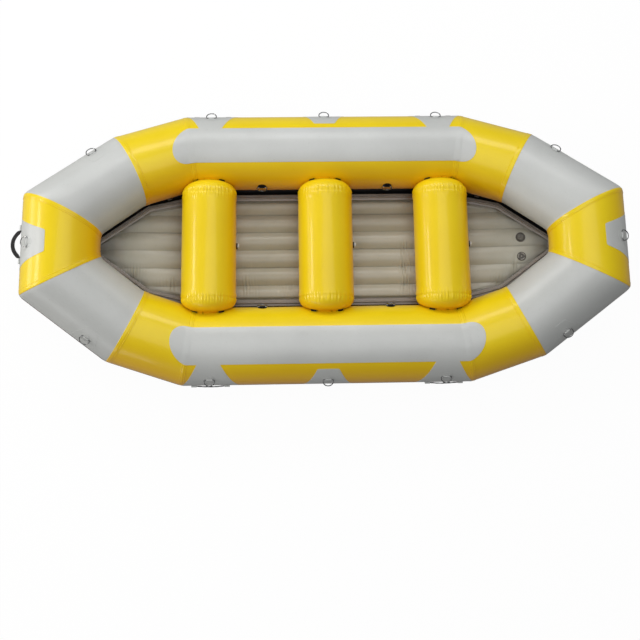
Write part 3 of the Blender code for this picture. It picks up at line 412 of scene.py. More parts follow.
def ringSurface(seg, m, deg, lift=0.0):
    # axis point + R x arm, bent into the neighbour's direction by a softplus past each mitre,
    # then raised along the blended arm by the lift
    m, deg, lift = np.broadcast_arrays(np.asarray(m, float), np.asarray(deg, float), np.asarray(lift, float))
    after = (seg + 1) % tubeCount
    softEnd, softStart = creases[after], creases[seg]
    arm = spoke(seg, deg)
    pastEnd = (m - seamAt(seg, deg, True)) / softEnd
    pastStart = (seamAt(seg, deg, False) - m) / softStart
    point = middles[seg] + dirs[seg] * m[..., None] + arm * tubeR
    point = point + (dirs[after] - dirs[seg]) * (softEnd * np.logaddexp(0, pastEnd))[..., None]
    point = point + (dirs[seg] - dirs[seg - 1]) * (softStart * np.logaddexp(0, pastStart))[..., None]
    wEnd, wStart = softStep(pastEnd)[..., None], softStep(pastStart)[..., None]
    normal = unit(arm * (1 - wEnd - wStart) + spoke(after, deg) * wEnd + spoke(seg - 1, deg) * wStart)
    return point + normal * lift[..., None]


# seam tapes: on which side of each knot the tape lies, in metres past the knot
tapeSide = {"before": (-raft["tapeWide"], 0.0), "after": (0.0, raft["tapeWide"]),
            "both": (-raft["tapeWide"] / 2, raft["tapeWide"] / 2)}
tapeOf = ["before", "after", "both", "both", "before", "after"] * 2
tapeSoft = 0.0016                         # how softly a skin steps over a tape's edge


def tapeLift(seg, m, deg):
    # height of the tapes under a skin: a soft-edged step across each one
    total = 0.0
    for knot, atEnd in ((seg, False), ((seg + 1) % tubeCount, True)):
        low, high = tapeSide[tapeOf[knot]]
        past = m - seamAt(seg, deg, atEnd)
        total = total + softStep((past - low) / tapeSoft) - softStep((past - high) / tapeSoft)
    return total * raft["tapeThick"]


# puckers: short soft folds that gather where the fabric is shortened inside a mitre
pucker = {"height": 0.0005, "reach": 0.030, "outside": 0.25}
puckerWaves = [(rng.uniform(14, 30, 5), rng.uniform(0, 2 * math.pi, 5), rng.uniform(0.5, 1, 5))
               for _ in range(tubeCount)]


def puckerLift(seg, m, deg):
    # sum of sines round the tube, strongest inside the bend, fading with distance from the mitre
    total = 0.0
    turn = np.radians(deg)
    inside = pucker["outside"] + (1 - pucker["outside"]) * (0.5 - 0.5 * np.cos(turn))
    for knot, atEnd in ((seg, False), ((seg + 1) % tubeCount, True)):
        wave = sum(s * np.sin(turn * np.round(c) + p) for c, p, s in zip(*puckerWaves[knot]))
        far = np.abs(m - seamAt(seg, deg, atEnd))
        total = total + wave * inside * np.exp(-far / pucker["reach"])
    return total * pucker["height"]


edgeSteps = np.array([0.0, 0.003, 0.006, 0.010, 0.015, 0.021, 0.028, 0.037, 0.048, 0.062, 0.080])


def rowsBetween(low, high, middleRows):
    # rows from low to high, crowded towards both ends by the fixed steps
    inner = np.linspace(0, 1, middleRows + 2)[1:-1, None]
    first, last = low + edgeSteps[:, None], high - edgeSteps[::-1, None]
    return np.vstack([first, first[-1] + (last[0] - first[-1]) * inner, last])


def tubeRows(seg, deg, short, long):
    # rows from mitre to mitre, more of them on the two long middle tubes
    return rowsBetween(seamAt(seg, deg, False), seamAt(seg, deg, True), short if lengths[seg] < 1 else long)


stretches = ["stern_quarter", "stern_shoulder", "mid", "bow_shoulder", "bow_quarter"]
tubeNames = ["tube_port_" + part for part in stretches] + ["tube_bow_end"] + \
    ["tube_star_" + part for part in reversed(stretches)] + ["tube_stern_end"]


def makeTube(seg):
    deg = np.arange(-90, 270, 3.0)
    m = tubeRows(seg, deg, 12, 40)
    points = ringSurface(seg, m, deg, puckerLift(seg, m, deg))
    wrapped = np.append(deg, 270.0) * perDeg
    uv = np.stack([np.hstack([m, m[:, :1]]), np.broadcast_to(wrapped, (len(m), len(wrapped)))], -1)
    colour = "grey" if "quarter" in tubeNames[seg] else "yellow"
    makePiece(tubeNames[seg].replace("tube", "tubeSkin"), cappedSurfaces(points, uv), colour,
              replaced=[tubeNames[seg]], sharp=60)


for seg in range(tubeCount):
    makeTube(seg)
print("tubes inflated")


# Tapes over the mitres: the loose edge carries a pressed double line, the glued edge thins out
tapeLine = np.array([0, 0.0005, 0.0018, 0.0045, 0.0060, 0.0078, 0.0092])
tapeRise = np.array([0.25, 0.9, 1.25, 1.25, 0.55, 0.55, 1.0])
tapeGlued = np.array([0.25, 0.7, 1, 1, 1, 1, 1])


def tapeParts(knot):
    low, high = tapeSide[tapeOf[knot]]
    deg = np.arange(-17, 198, 3.0)
    s = np.concatenate([low + tapeLine, [(low + high) / 2], high - tapeLine[::-1]])
    top = np.concatenate([tapeGlued if tapeOf[knot] == "after" else tapeRise, [1.0],
                          (tapeGlued if tapeOf[knot] == "before" else tapeRise)[::-1]])
    m = seamAt(knot, deg, False) + s[:, None]
    wide = np.broadcast_to(deg, m.shape)
    folds = puckerLift(knot, m, wide)
    outer = ringSurface(knot, m, wide, folds + top[:, None] * raft["tapeThick"])
    inner = ringSurface(knot, m, wide, folds - sink)
    return shellSurfaces(outer, inner, np.stack([m, wide * perDeg], -1))


makePiece("mitreSeamTapes", [part for knot in range(tubeCount) for part in tapeParts(knot)], "yellow")


# Black wear layer under the lower half, and the rubbing strip over its edge
lower = {"outerDeg": -15.0, "innerDeg": -165.0, "lift": 0.0019, "thick": 0.0016, "edge": 0.6}


def runRows(segs, deg, short, long):
    # rows of (seg, m) that follow a run of tubes, with the shared row at each mitre kept once
    rows = []
    for seg in segs:
        m = tubeRows(seg, deg, short, long)
        rows += [(seg, row) for row in (m[1:] if rows else m)]
    return rows


def runPoints(rows, deg, lift):
    return np.stack([ringSurface(seg, m, deg, lift + puckerLift(seg, m, deg)) for seg, m in rows])


def makeWearLayer(part, segs):
    deg = np.linspace(lower["innerDeg"], lower["outerDeg"], 51)
    rows = runRows(segs, deg, 10, 40)
    taper = np.ones(len(deg))
    taper[[0, -1]] = lower["edge"]
    outer = runPoints(rows, deg, lower["lift"] * taper)
    inner = runPoints(rows, deg, lower["lift"] - lower["thick"])
    uv = flatGrid(runLength(outer[:, len(deg) // 2]), deg * perDeg)
    outer[..., 2] = np.maximum(outer[..., 2], 0.0)
    makePiece("wearSkin_" + part, shellSurfaces(outer, inner, uv), "black", replaced=["wear_layer_" + part],
              sharp=60)


for part, segs in {"port": range(0, 5), "star": range(6, 11), "bow": [5], "stern": [11]}.items():
    makeWearLayer(part, segs)

strake = {"topDeg": -10.0, "footDeg": -24.2, "thick": 0.0035, "step": 0.0022, "round": 0.0012,
          "under": 0.0004, "ridge": 0.0034, "ridgePower": 0.35, "ridges": ((-12.4, -15.9), (-17.3, -21.2))}


def ringRun(profileDeg, profileLift):
    # a profile of angles and lifts carried round all twelve tubes and closed on itself
    rows = runRows(range(tubeCount), profileDeg, 6, 30)[:-1]
    grid = np.stack([ringSurface(seg, row, profileDeg, profileLift) for seg, row in rows])
    run = runLength(np.vstack([grid[:, 0], grid[:1, 0]]))
    across = np.append(profileDeg, profileDeg[0]) * perDeg
    return gridSurface(grid, flatGrid(run, across), wrapRows=True, wrapCols=True)


def makeStrake():
    # a flat band with rounded shoulders that steps down over the wear layer's edge
    top = strake["step"] + strake["thick"]
    soft = strake["round"] / perDeg
    a, b = strake["topDeg"], strake["footDeg"]
    flat = [(a, strake["under"]), (a, top * 0.7), (a - soft * 0.4, top * 0.93), (a - soft, top)]
    flat += [(deg, top) for deg in np.linspace(a - 2 * soft, b + 2 * soft, 9)]
    flat += [(b + soft, top), (b + soft * 0.4, top * 0.93), (b, top * 0.7), (b, strake["step"])]
    flat += [(lower["outerDeg"] - 0.4, strake["step"]), (lower["outerDeg"] + 0.1, strake["under"])]
    deg, lift = np.array(flat).T
    makePiece("rubbingStrip", [ringRun(deg, lift)], "black", replaced=["rub_strake"], sharp=50)
    ribs = []
    for high, low in strake["ridges"]:
        # full rib: lift = ridge x (1 - x^2)^0.35, x across the rib
        x = np.cos(np.linspace(0, math.pi, 11))
        lift = top + strake["ridge"] * np.clip(1 - x * x, 0, 1) ** strake["ridgePower"]
        lift[[0, -1]] = top - 0.0006
        ribs.append(ringRun((high + low) / 2 + x * (high - low) / 2, lift))
    makePiece("rubbingStripRidges", ribs, "rubber", sharp=60)


makeStrake()
print("lower skins glued")


# Glued pads and patches on the tubes
skin = {"lift": 0.0015, "foot": 0.00009, "corner": 0.010, "edge": 0.45,
        "edgeDeg": np.array([0.06, 0.3, 0.8, 1.5])}


def skinParts(seg, m, deg, extra=0.0):
    # a skin over a grid of places on a tube, its border thinned like a skived edge
    rim = np.ones(m.shape)
    rim[[0, -1]] = skin["edge"]
    rim[:, [0, -1]] = skin["edge"]
    under = tapeLift(seg, m, deg) + puckerLift(seg, m, deg) + extra
    outer = ringSurface(seg, m, deg, under + skin["lift"] * rim)
    inner = ringSurface(seg, m, deg, under + skin["foot"])
    return shellSurfaces(outer, inner, np.stack([m, deg * perDeg], -1))


def easedSpan(count, edge=0.012):
    # -1 to 1 with the last steps kept short, so a border stays crisp
    t = np.linspace(-1, 1, count)
    return np.concatenate([[-1, -1 + edge * 0.3, -1 + edge], t[1:-1], [1 - edge, 1 - edge * 0.3, 1]])


def trapezoidParts(seg, x, topDeg, topHalf, footDeg, footHalf, endDeg=None, extra=0.0, rounded=True):
    # across = x + u x half width(angle); the half width grows from top to foot, its corners rounded
    endDeg = footDeg if endDeg is None else endDeg
    deg = np.unique(np.concatenate([np.linspace(topDeg, footDeg, 26), np.linspace(footDeg, endDeg, 9),
                                    topDeg - skin["edgeDeg"], endDeg + skin["edgeDeg"]]))[::-1]
    grow = np.clip((topDeg - deg) / max(topDeg - footDeg, 1e-6), 0, 1)
    half = topHalf + (footHalf - topHalf) * grow
    if rounded:
        fromEnd = np.minimum(np.abs(deg - topDeg), np.abs(deg - endDeg)) * perDeg
        short = np.clip(skin["corner"] - fromEnd, 0, None)
        half = half - skin["corner"] + np.sqrt(skin["corner"] ** 2 - short ** 2)
    m = x + half[:, None] * easedSpan(17)
    return skinParts(seg, m, np.broadcast_to(deg[:, None], m.shape), extra)


pad = {"outerDeg": 60.0, "innerDeg": 116.0, "overrun": 0.100, "flareX": 0.764, "flareTop": 0.073,
       "flareFoot": 0.180, "flareFootDeg": 9.0, "flareEndDeg": -8.0, "flareSink": 0.00015,
       "border": np.array([0.0006, 0.002])}


def makePad(side, seg):
    # long pad: along = u x (centre + half x sqrt(1 - v^2)), so its ends are half circles; rows crowd at
    # both borders and where the pad turns over the mitres
    half = (pad["innerDeg"] - pad["outerDeg"]) / 2 * perDeg
    centre = raft["midHalf"] + pad["overrun"] - half
    v = np.concatenate([[-1, -0.998, -0.99], np.sin(np.linspace(-1.4, 1.4, 27)), [0.99, 0.998, 1]])
    deg = (pad["innerDeg"] + pad["outerDeg"]) / 2 + v * half / perDeg
    knee = raft["midHalf"] / (centre + half)
    bend = np.linspace(-0.05, 0.05, 21)
    u = np.unique(np.concatenate([np.linspace(-1, 1, 61), -1 + pad["border"], 1 - pad["border"], knee + bend,
                                  -knee - bend]))
    m = (centre + half * np.sqrt(1 - v * v))[:, None] * u
    parts = skinParts(seg, m, np.broadcast_to(deg[:, None], m.shape))
    for x in (-pad["flareX"], pad["flareX"]):
        parts += trapezoidParts(seg, x, pad["outerDeg"] + 1.0, pad["flareTop"], pad["flareFootDeg"],
                                pad["flareFoot"], pad["flareEndDeg"], extra=-pad["flareSink"],
                                rounded=False)
    makePiece("chafePad_" + side, parts, "grey", replaced=["chafe_pad_" + side], sharp=50)


makePad("port", 2)
makePad("star", 8)
sidePatch, endPatch = (50.0, 0.070, 0.4, 0.160), (65.0, 0.068, -8.0, 0.182)
for kind, spot, seg, sizes in (("side", "port", 2, sidePatch), ("side", "star", 8, sidePatch),
                               ("end", "bow", 5, endPatch), ("end", "stern", 11, endPatch)):
    makePiece(f"{kind}Patch_{spot}", trapezoidParts(seg, 0.0, *sizes), "grey",
              replaced=[f"{kind}_patch_{spot}"], sharp=50)
print("pads and patches glued")


# Tie rings: a round base, a folded webbing tunnel and a D of steel wire that swings in it
tie = {"wire": 0.0034, "halfWide": 0.033, "depth": 0.047, "corner": 0.008, "baseThick": 0.0016,
       "baseR": {"outerRest": 0.036, "innerRest": 0.030}, "outerRest": -35.0, "innerRest": 250.0,
       "tunnel": (0.019, 0.021, 0.0014), "clear": 0.0004, "wedge": (55.0, 0.040, 30.0, 0.082, 12.0),
       "wedgeSink": 0.0006}


def basis(origin, x, z):
    # rows of local points (x, y, z) placed in the raft: origin + x X + y (Z x X) + z Z
    x, z = unit(np.asarray(x, float)), unit(np.asarray(z, float))
    axes = np.stack([x, np.cross(z, x), z])
    return lambda local: np.asarray(origin, float) + np.asarray(local, float) @ axes


def ringOutline():
    # D in its own plane: straight bar, two tight corners, then a half circle
    w, c, d = tie["halfWide"], tie["corner"], tie["depth"]
    bend = np.linspace(0, math.pi / 2, 7)
    corner = np.stack([w - c + c * np.sin(bend), c - c * np.cos(bend)], -1)
    turn = np.linspace(0, math.pi, 25)
    bow = np.stack([w * np.cos(turn), d - w + w * np.sin(turn)], -1)
    bar = np.stack([np.linspace(-w + c, w - c, 9)[1:-1], np.zeros(7)], -1)
    flat = np.vstack([bar, corner, bow, (corner * (-1, 1))[::-1]])
    return np.stack([flat[:, 0], np.zeros(len(flat)), flat[:, 1]], -1)


def wireSurface(path, side):
    # round wire along a closed path: centre + side x cosine + (side x way) x sine
    way = unit(np.roll(path, -1, axis=0) - np.roll(path, 1, axis=0))
    a = np.linspace(0, 2 * math.pi, 13)
    cosine, sine = (tie["wire"] * turned[:-1, None] for turned in (np.cos(a), np.sin(a)))
    grid = path[:, None] + side * cosine + np.cross(side, way)[:, None] * sine
    uv = flatGrid(runLength(np.vstack([path, path[:1]])), a * tie["wire"])
    return gridSurface(grid, uv, wrapRows=True, wrapCols=True)


def discParts(seg, m, deg, radius, thick, under):
    # round skin: rings of places at growing radius, thinned at the rim, closed below
    r = np.array([0, 0.25, 0.5, 0.75, 0.9, 0.965, 0.99, 1.0, 0.96, 0.5, 0.0]) * radius
    lift = np.array([1, 1, 1, 1, 1, 0.97, 0.8, 0.35, -0.2, -0.2, -0.2]) * thick
    a = np.radians(np.arange(0, 360, 9.0))
    mm = m + r[:, None] * np.cos(a)
    dd = deg + r[:, None] * np.sin(a) / perDeg
    uv = np.stack([np.hstack([mm, mm[:, :1]]), np.hstack([dd, dd[:, :1]]) * perDeg], -1)
    lift = under + puckerLift(seg, mm, dd) + lift[:, None]
    return [gridSurface(ringSurface(seg, mm, dd, lift), uv, wrapCols=True)]


def tunnelParts(place, foot, hole, halfLong, halfFoot, wall):
    # webbing folded over a bar: flat foot, arch of radius hole + wall, flat foot; local z is out
    arch = np.radians(np.linspace(215, -35, 15))
    feet = np.linspace(halfFoot, hole * 1.9, 5)

    def profile(radius, level):
        curve = np.stack([radius * np.cos(arch), np.maximum(radius * np.sin(arch), level)], -1)
        left, right = (np.stack([side, np.full(5, level)], -1) for side in (-feet, feet[::-1]))
        return np.vstack([left, curve, right])

    outer, inner = profile(hole + wall, foot + wall), profile(hole, foot)
    along = np.array([-1, -0.985, -0.94, 0, 0.94, 0.985, 1]) * halfLong
    thin = np.array([0.4, 0.85, 1, 1, 1, 0.85, 0.4])
    rowsOut = np.stack([np.column_stack([np.full(len(outer), x), inner + (outer - inner) * share])
                        for x, share in zip(along, thin)])
    rowsIn = np.stack([np.column_stack([np.full(len(inner), x), inner]) for x in along])
    return shellSurfaces(place(rowsOut), place(rowsIn))


def makeTieRing(name, seg, deg, rest, colour, under):
    # along the tube each ring sits where the frame hinges it
    body = f"ring_{name}_body"
    origin, axis, out = np.array(jointOf[body]["pos_m"]), dirs[seg], spoke(seg, deg)
    m = float((origin - middles[seg]) @ axis)
    height = (origin - ringSurface(seg, m, deg)) @ out
    parts = discParts(seg, m, deg, tie["baseR"][rest], tie["baseThick"], under)
    if seg in (0, 4, 6, 10):
        parts += trapezoidParts(seg, m, *tie["wedge"], extra=-tie["wedgeSink"])
    parts += tunnelParts(basis(origin, axis, out), under + tie["baseThick"] - height - sink,
                         tie["wire"] + tie["clear"], *tie["tunnel"])
    makePiece("ringBase_" + name, parts, colour, sharp=45)
    hang = basis(origin, axis, spoke(seg, tie[rest]))
    wire = wireSurface(hang(ringOutline()), hang((0, 1, 0)) - origin)
    makePiece("dRing_" + name, [wire], "steel", body=body, replaced=["ring_" + name], sharp=80)


for side, sternSeg, midSeg, bowSeg in (("port", 0, 2, 4), ("star", 10, 8, 6)):
    makeTieRing(side + "_stern_quarter", sternSeg, 34.0, "outerRest", "grey", 0.0)
    makeTieRing(side + "_mid", midSeg, 27.0, "outerRest", "grey", skin["lift"])
    for spot in ("a", "b"):
        makeTieRing(f"{side}_side_{spot}", midSeg, 31.0, "outerRest", "grey", skin["lift"])
    # painted shade: the inner ring bases take the black finish because shade falls on them inside the ring
    for spot in ("a", "b"):
        makeTieRing(f"{side}_inner_{spot}", midSeg, 166.0, "innerRest", "black", 0.0)
    makeTieRing(side + "_bow_quarter", bowSeg, 34.0, "outerRest", "grey", 0.0)
for end, seg in (("bow", 5), ("stern", 11)):
    makeTieRing(end, seg, 34.0, "outerRest", "grey", skin["lift"])
print("tie rings hung")


# Carrying handles: a flat strap bowed between two glued anchors
strap = {"half": 0.0885, "wide": 0.025, "thick": 0.0046, "bow": 2.2, "pin": 0.0040, "clear": 0.0012,
         "anchorOut": 0.019, "tongue": (0.004, 0.010, 0.027), "taperFrom": 0.012, "taperLong": 0.014,
         "ribHigh": 0.0004, "ribLong": 0.006, "tunnel": (0.0175, 0.022, 0.0016),
         "side": (0.034, -82.0), "stern": (0.046, -12.0)}


def makeHandle(name, seg, depth, rest):
    body = f"handle_{name}_body"
    origin, axis, out = np.array(jointOf[body]["pos_m"]), dirs[seg], spoke(seg, 0.0)
    hang = basis(origin, axis, spoke(seg, rest))
    # the strap's middle line: z = depth x (1 - |f|^bow), with a straight tongue past each end
    f = np.linspace(-1, 1, 41)
    ends = strap["half"] + np.array(strap["tongue"])
    path = np.zeros((47, 3))
    path[:, 0] = np.concatenate([-ends[::-1], f * (strap["half"] - 0.002), ends])
    path[3:-3, 2] = depth * (1 - np.abs(f) ** strap["bow"])
    # section: rounded rectangle |a/A|^4 + |b/B|^4 = 1, narrowed to a tongue inside the anchors
    t = np.linspace(0, 2 * math.pi, 25)[:-1]
    cosine, sine = (np.sign(v) * np.abs(v) ** 0.5 for v in (np.cos(t), np.sin(t)))
    narrow = np.clip((np.abs(path[:, 0]) - strap["half"] + strap["taperFrom"]) / strap["taperLong"], 0, 1)
    wide = strap["wide"] / 2 * (1 - narrow) + strap["pin"] * narrow
    thick = strap["thick"] / 2 + strap["ribHigh"] * np.cos(path[:, 0] / strap["ribLong"])
    side = np.array([0.0, 1.0, 0.0])
    top = unit(np.cross(side, np.gradient(path, axis=0)))[:, None]
    flat, deep = (cosine * thick[:, None])[..., None], (sine * wide[:, None])[..., None]
    grid = path[:, None] + side * flat + top * deep
    uv = flatGrid(path[:, 0], np.linspace(0, 2 * (strap["wide"] + strap["thick"]), 25))
    makePiece("strap_" + name, cappedSurfaces(hang(grid), uv), "webbing", body=body,
              replaced=["handle_" + name], sharp=50)
    height = (origin - ringSurface(seg, (origin - middles[seg]) @ axis, 0.0)) @ out
    anchors = []
    for sign in (-1, 1):
        centre = origin + axis * sign * (strap["half"] + strap["anchorOut"])
        anchors += tunnelParts(basis(centre, axis, out), skin["lift"] - height - sink,
                               strap["pin"] + strap["clear"], *strap["tunnel"])
    makePiece("strapAnchors_" + name, anchors, "grey", sharp=45)


for side, seg in (("port", 2), ("star", 8)):
    for spot in ("a", "b"):
        makeHandle(f"{side}_{spot}", seg, *strap["side"])
makeHandle("stern", 11, *strap["stern"])
print("handles fitted")


# Cross tubes: superellipse ends, pressed hollow where they meet the side tubes
thwart = {"radius": 0.181, "boxRadius": 0.187, "dome": 0.106, "power": 2.5, "reach": 0.203, "clear": 0.005,
          "pressSoft": 0.005, "gather": 0.0010, "gatherAt": 0.012, "gatherWide": 0.026, "seam": 0.0016,
          "seamWide": 0.0035, "band": 0.0011, "bandWide": 0.030, "bandSoft": (0.0012, 0.0015)}
barrelHalf = raft["sideY"] - thwart["reach"] - thwart["dome"]
floorTop = raft["axisHeight"] + tubeR * math.sin(math.radians(raft["deckDeg"]))
thwartZ = (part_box("thwart_mid")[0][2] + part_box("thwart_mid")[1][2]) / 2
thwartNames = ("stern", "mid", "bow")
thwartX = {name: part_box("thwart_" + name)[0][0] + thwart["boxRadius"] for name in thwartNames}


def pressClear(points, clear, soft):
    # push points out of the side tubes: distance from each axis becomes a soft maximum with R + clear
    for seg in (1, 2, 3, 7, 8, 9):
        along = np.clip((points - knots[seg]) @ dirs[seg], -0.05, lengths[seg] + 0.05)
        foot = knots[seg] + along[..., None] * dirs[seg]
        arm = points - foot
        far = np.linalg.norm(arm, axis=-1)
        over = far - tubeR - clear
        wanted = tubeR + clear + soft * np.logaddexp(0, np.clip(over / soft, -80, 80))
        points = foot + arm * (np.where(over < 8 * soft, wanted, far) / far)[..., None]
    return points


def makeThwart(name):
    # dome: r = R sin(a)^(2/p), y = half + dome x cos(a)^(2/p)
    a = np.radians(np.concatenate([[0], np.linspace(4, 90, 22)]))
    domeR = thwart["radius"] * np.sin(a) ** (2 / thwart["power"])
    domeY = barrelHalf + thwart["dome"] * np.clip(np.cos(a), 0, None) ** (2 / thwart["power"])
    barrel = rowsBetween(np.array([-barrelHalf]), np.array([barrelHalf]), 40)[1:-1, 0]
    r = np.concatenate([domeR, np.full(len(barrel), thwart["radius"]), domeR[::-1]])
    y = np.concatenate([-domeY, barrel, domeY[::-1]])
    phi = np.radians(np.arange(0, 360, 1.25))
    # gathers: ridges along the tube that die out on both sides of each end seam; the seam's own groove;
    # and the raised band of the barrel's seam allowance
    counts, phases = rng.uniform(30, 62, 6).round(), rng.uniform(0, 2 * math.pi, 6)
    wave = sum(np.sin(phi * c + p) for c, p in zip(counts, phases))
    fromSeam = np.abs(y) - barrelHalf
    gather = bell(fromSeam, thwart["gatherAt"], thwart["gatherWide"]) * \
        np.clip(1.2 * np.abs(fromSeam) / thwart["gatherAt"], 0.25, 1)
    outerSoft, innerSoft = thwart["bandSoft"]
    band = softStep(-fromSeam / outerSoft) * softStep((fromSeam + thwart["bandWide"]) / innerSoft)
    flat = thwart["band"] * band - thwart["seam"] * bell(fromSeam, 0, thwart["seamWide"])
    lift = thwart["gather"] * wave * gather[:, None] + flat[:, None]
    rr = r[:, None] + lift * np.clip(r / thwart["radius"] * 2 - 1, 0, 1)[:, None]
    points = np.stack([thwartX[name] + rr * np.cos(phi), np.broadcast_to(y[:, None], rr.shape),
                       thwartZ + rr * np.sin(phi)], -1)
    points = pressClear(points, thwart["clear"], thwart["pressSoft"])
    uv = flatGrid(y, np.append(phi, 2 * math.pi) * thwart["radius"])
    piece = makePiece("crossTube_" + name, [gridSurface(points, uv, wrapCols=True)], "crossYellow",
                      replaced=["thwart_" + name], weld=1e-4, sharp=60)


for name in thwartNames:
    makeThwart(name)


tieDown = {"flapHalf": 0.060, "slitHalf": 0.005, "slitAt": {"stern": -0.029, "mid": 0.029, "bow": 0.012},
           "strap": (0.071, 0.106), "soft": 0.0022,
           # reach past the valley on both sides, lift and thickness
           "flapRun": ((-0.008, 0.009), 0.0012, 0.0012), "strapRun": ((-0.004, 0.006), 0.0014, 0.0016)}


def tieStrip(x, side, low, high, reach, lift, thick):
    # a strip laid in the valley: z = soft maximum of the dome's crown, z0 + sqrt(r^2 - x^2) with
    # r = R (1 - t^p)^(1/p), and of the side tube, z1 + sqrt(R1^2 - (y - y1)^2), over a short reach in y
    across = np.linspace(low, high, 9)[None]

    def heights(y):
        t = np.clip((y - barrelHalf) / thwart["dome"], 0, 1)
        r = thwart["radius"] * (1 - t ** thwart["power"]) ** (1 / thwart["power"])
        crown = thwartZ + np.sqrt(np.clip(r ** 2 - across ** 2, 0, None))
        wall = raft["axisHeight"] + np.sqrt(np.maximum(tubeR ** 2 - (y - raft["sideY"]) ** 2, 0))
        return crown, wall

    search = np.linspace(barrelHalf, barrelHalf + thwart["dome"], 500)[:, None]
    crown, wall = heights(search)
    y = search[np.argmax(crown < wall, axis=0), 0][None] + np.linspace(*reach, 9)[:, None]
    crown, wall = heights(y)
    z = tieDown["soft"] * np.logaddexp(crown / tieDown["soft"], wall / tieDown["soft"]) + lift
    grid = np.stack([x + np.broadcast_to(across, z.shape), side * y, z], -1)
    return shellSurfaces(grid + (0, 0, thick), grid)


def makeTies(name):
    flaps, straps = [], []
    slit, half, gap = tieDown["slitAt"][name], tieDown["flapHalf"], tieDown["slitHalf"]
    inner, outer = tieDown["strap"]
    for side in (-1, 1):
        for low, high in ((-half, slit - gap), (slit + gap, half)):
            flaps += tieStrip(thwartX[name], side, low, high, *tieDown["flapRun"])
        for low, high in ((-outer, -inner), (inner, outer)):
            straps += tieStrip(thwartX[name], side, low, high, *tieDown["strapRun"])
    makePiece("tieFlaps_" + name, flaps, "crossYellow", sharp=50)
    makePiece("tieStraps_" + name, straps, "webbing", sharp=50)


for name in thwartNames:
    makeTies(name)
print("cross tubes inflated and tied")


# Floor: sewn channels inside the ring's plan, with a rolled edge and a flange laced to the apron
deck = {
    "thick": 0.115, "endRise": 0.166, "pitch": 0.1215, "dip": 0.027, "roll": 0.021, "deep": 0.050,
    "flangeDrop": 0.005, "flangeThick": 0.004, "flangeWide": 0.044, "bead": 0.0088, "kneeSoft": 0.05,
    "groove": 0.009, "grooveAt": (0.008, 0.004),
    # distances in from the tubes' axes of the flange's outer edge and of the floor's own edge
    "rim": {"mid": (0.266, 0.310), "knee": (0.238, 0.279), "corner": (0.228, 0.262), "end": (0.176, 0.206)},
    # pleats: place (x from amidships, y), spread in x and y, and height of each gathered patch
    "pleats": ((0.550, -0.14, 0.034, 0.15, 4.6), (-0.53, -0.21, 0.045, 0.08, 1.4),
               (-0.25, -0.29, 0.05, 0.04, 1.2), (-1.29, -0.19, 0.05, 0.05, 3.2),
               (-1.04, -0.24, 0.05, 0.06, 2.4), (1.29, -0.16, 0.035, 0.05, 3.0),
               (1.18, -0.24, 0.030, 0.05, 1.3), (0.78, -0.28, 0.05, 0.05, 1.0),
               (-0.08, 0.20, 0.04, 0.12, 0.5)),
    "pleatHigh": 0.0026, "rimHigh": 0.0005, "rimAt": (0.05, 0.035), "arc": 1.47, "softShare": 0.35,
    "noseFrom": 0.80, "noseOver": 0.45, "noseFlat": 0.55,
}
valves = {"x": 1.341 + midX, "floorY": 0.058, "reliefY": -0.073, "drop": 0.003, "slope": 0.2469,
          "seatR": 0.046, "seatSoft": 0.0035, "seatDrop": 0.0042}


def deckRise(x):
    # height gained from amidships to the ends: two slopes, between sharp knees and soft ones
    far = np.abs(np.asarray(x, float) - midX)
    first = raft["kneeRise"] / (raft["kneeX"] - raft["midHalf"])
    second = (deck["endRise"] - raft["kneeRise"]) / (raft["cornerX"] - raft["kneeX"])
    soft = deck["kneeSoft"]
    low, high = (soft * np.logaddexp(0, (far - start) / soft) for start in (raft["midHalf"], raft["kneeX"]))
    rise = first * low + (second - first) * high
    plain = np.where(far < raft["midHalf"], 0, np.where(far < raft["kneeX"], first * (far - raft["midHalf"]),
                     raft["kneeRise"] + second * (far - raft["kneeX"])))
    return rise * deck["softShare"] + plain * (1 - deck["softShare"])


def insetLoop(insets):
    # corners of the plan drawn in: at each knot the point whose distances to its two axes are given
    side = unit(np.stack([dirs[:, 1], -dirs[:, 0]], -1))
    pairs = np.stack([np.roll(side, 1, axis=0), side], 1)
    return knots[:, :2] + np.linalg.solve(pairs, np.asarray(insets)[..., None])[..., 0]


def deckInsets(share):
    # distances to both axes at each knot, from the flange's outer edge (0) to the floor's own edge (1)
    at = {kind: low + (high - low) * share for kind, (low, high) in deck["rim"].items()}
    table = [(at[kind], at[kind]) for kind in knotKinds]
    for knot in (0, 5, 6, 11):
        table[knot] = (at["end"], at["corner"]) if knot in (0, 6) else (at["corner"], at["end"])
    return table


def edgeDistance(x, y, loop):
    # distance from places on the floor to the nearest side of its outline
    best = np.full(np.broadcast(x, y).shape, np.inf)
    for a, b in zip(loop, np.roll(loop, -1, axis=0)):
        way = (b - a) / np.linalg.norm(b - a)
        best = np.minimum(best, np.abs((x - a[0]) * way[1] - (y - a[1]) * way[0]))
    return best


def toNose(x):
    # 0 amidships, 1 where the floor narrows to its ends
    return np.clip((np.abs(x - midX) - deck["noseFrom"]) / deck["noseOver"], 0, 1)


pleatWaves = np.column_stack([rng.uniform(210, 330, 5) * rng.choice([-1, 1], 5), rng.uniform(-50, 50, 5),
                              rng.uniform(0, 6.28, 5)])


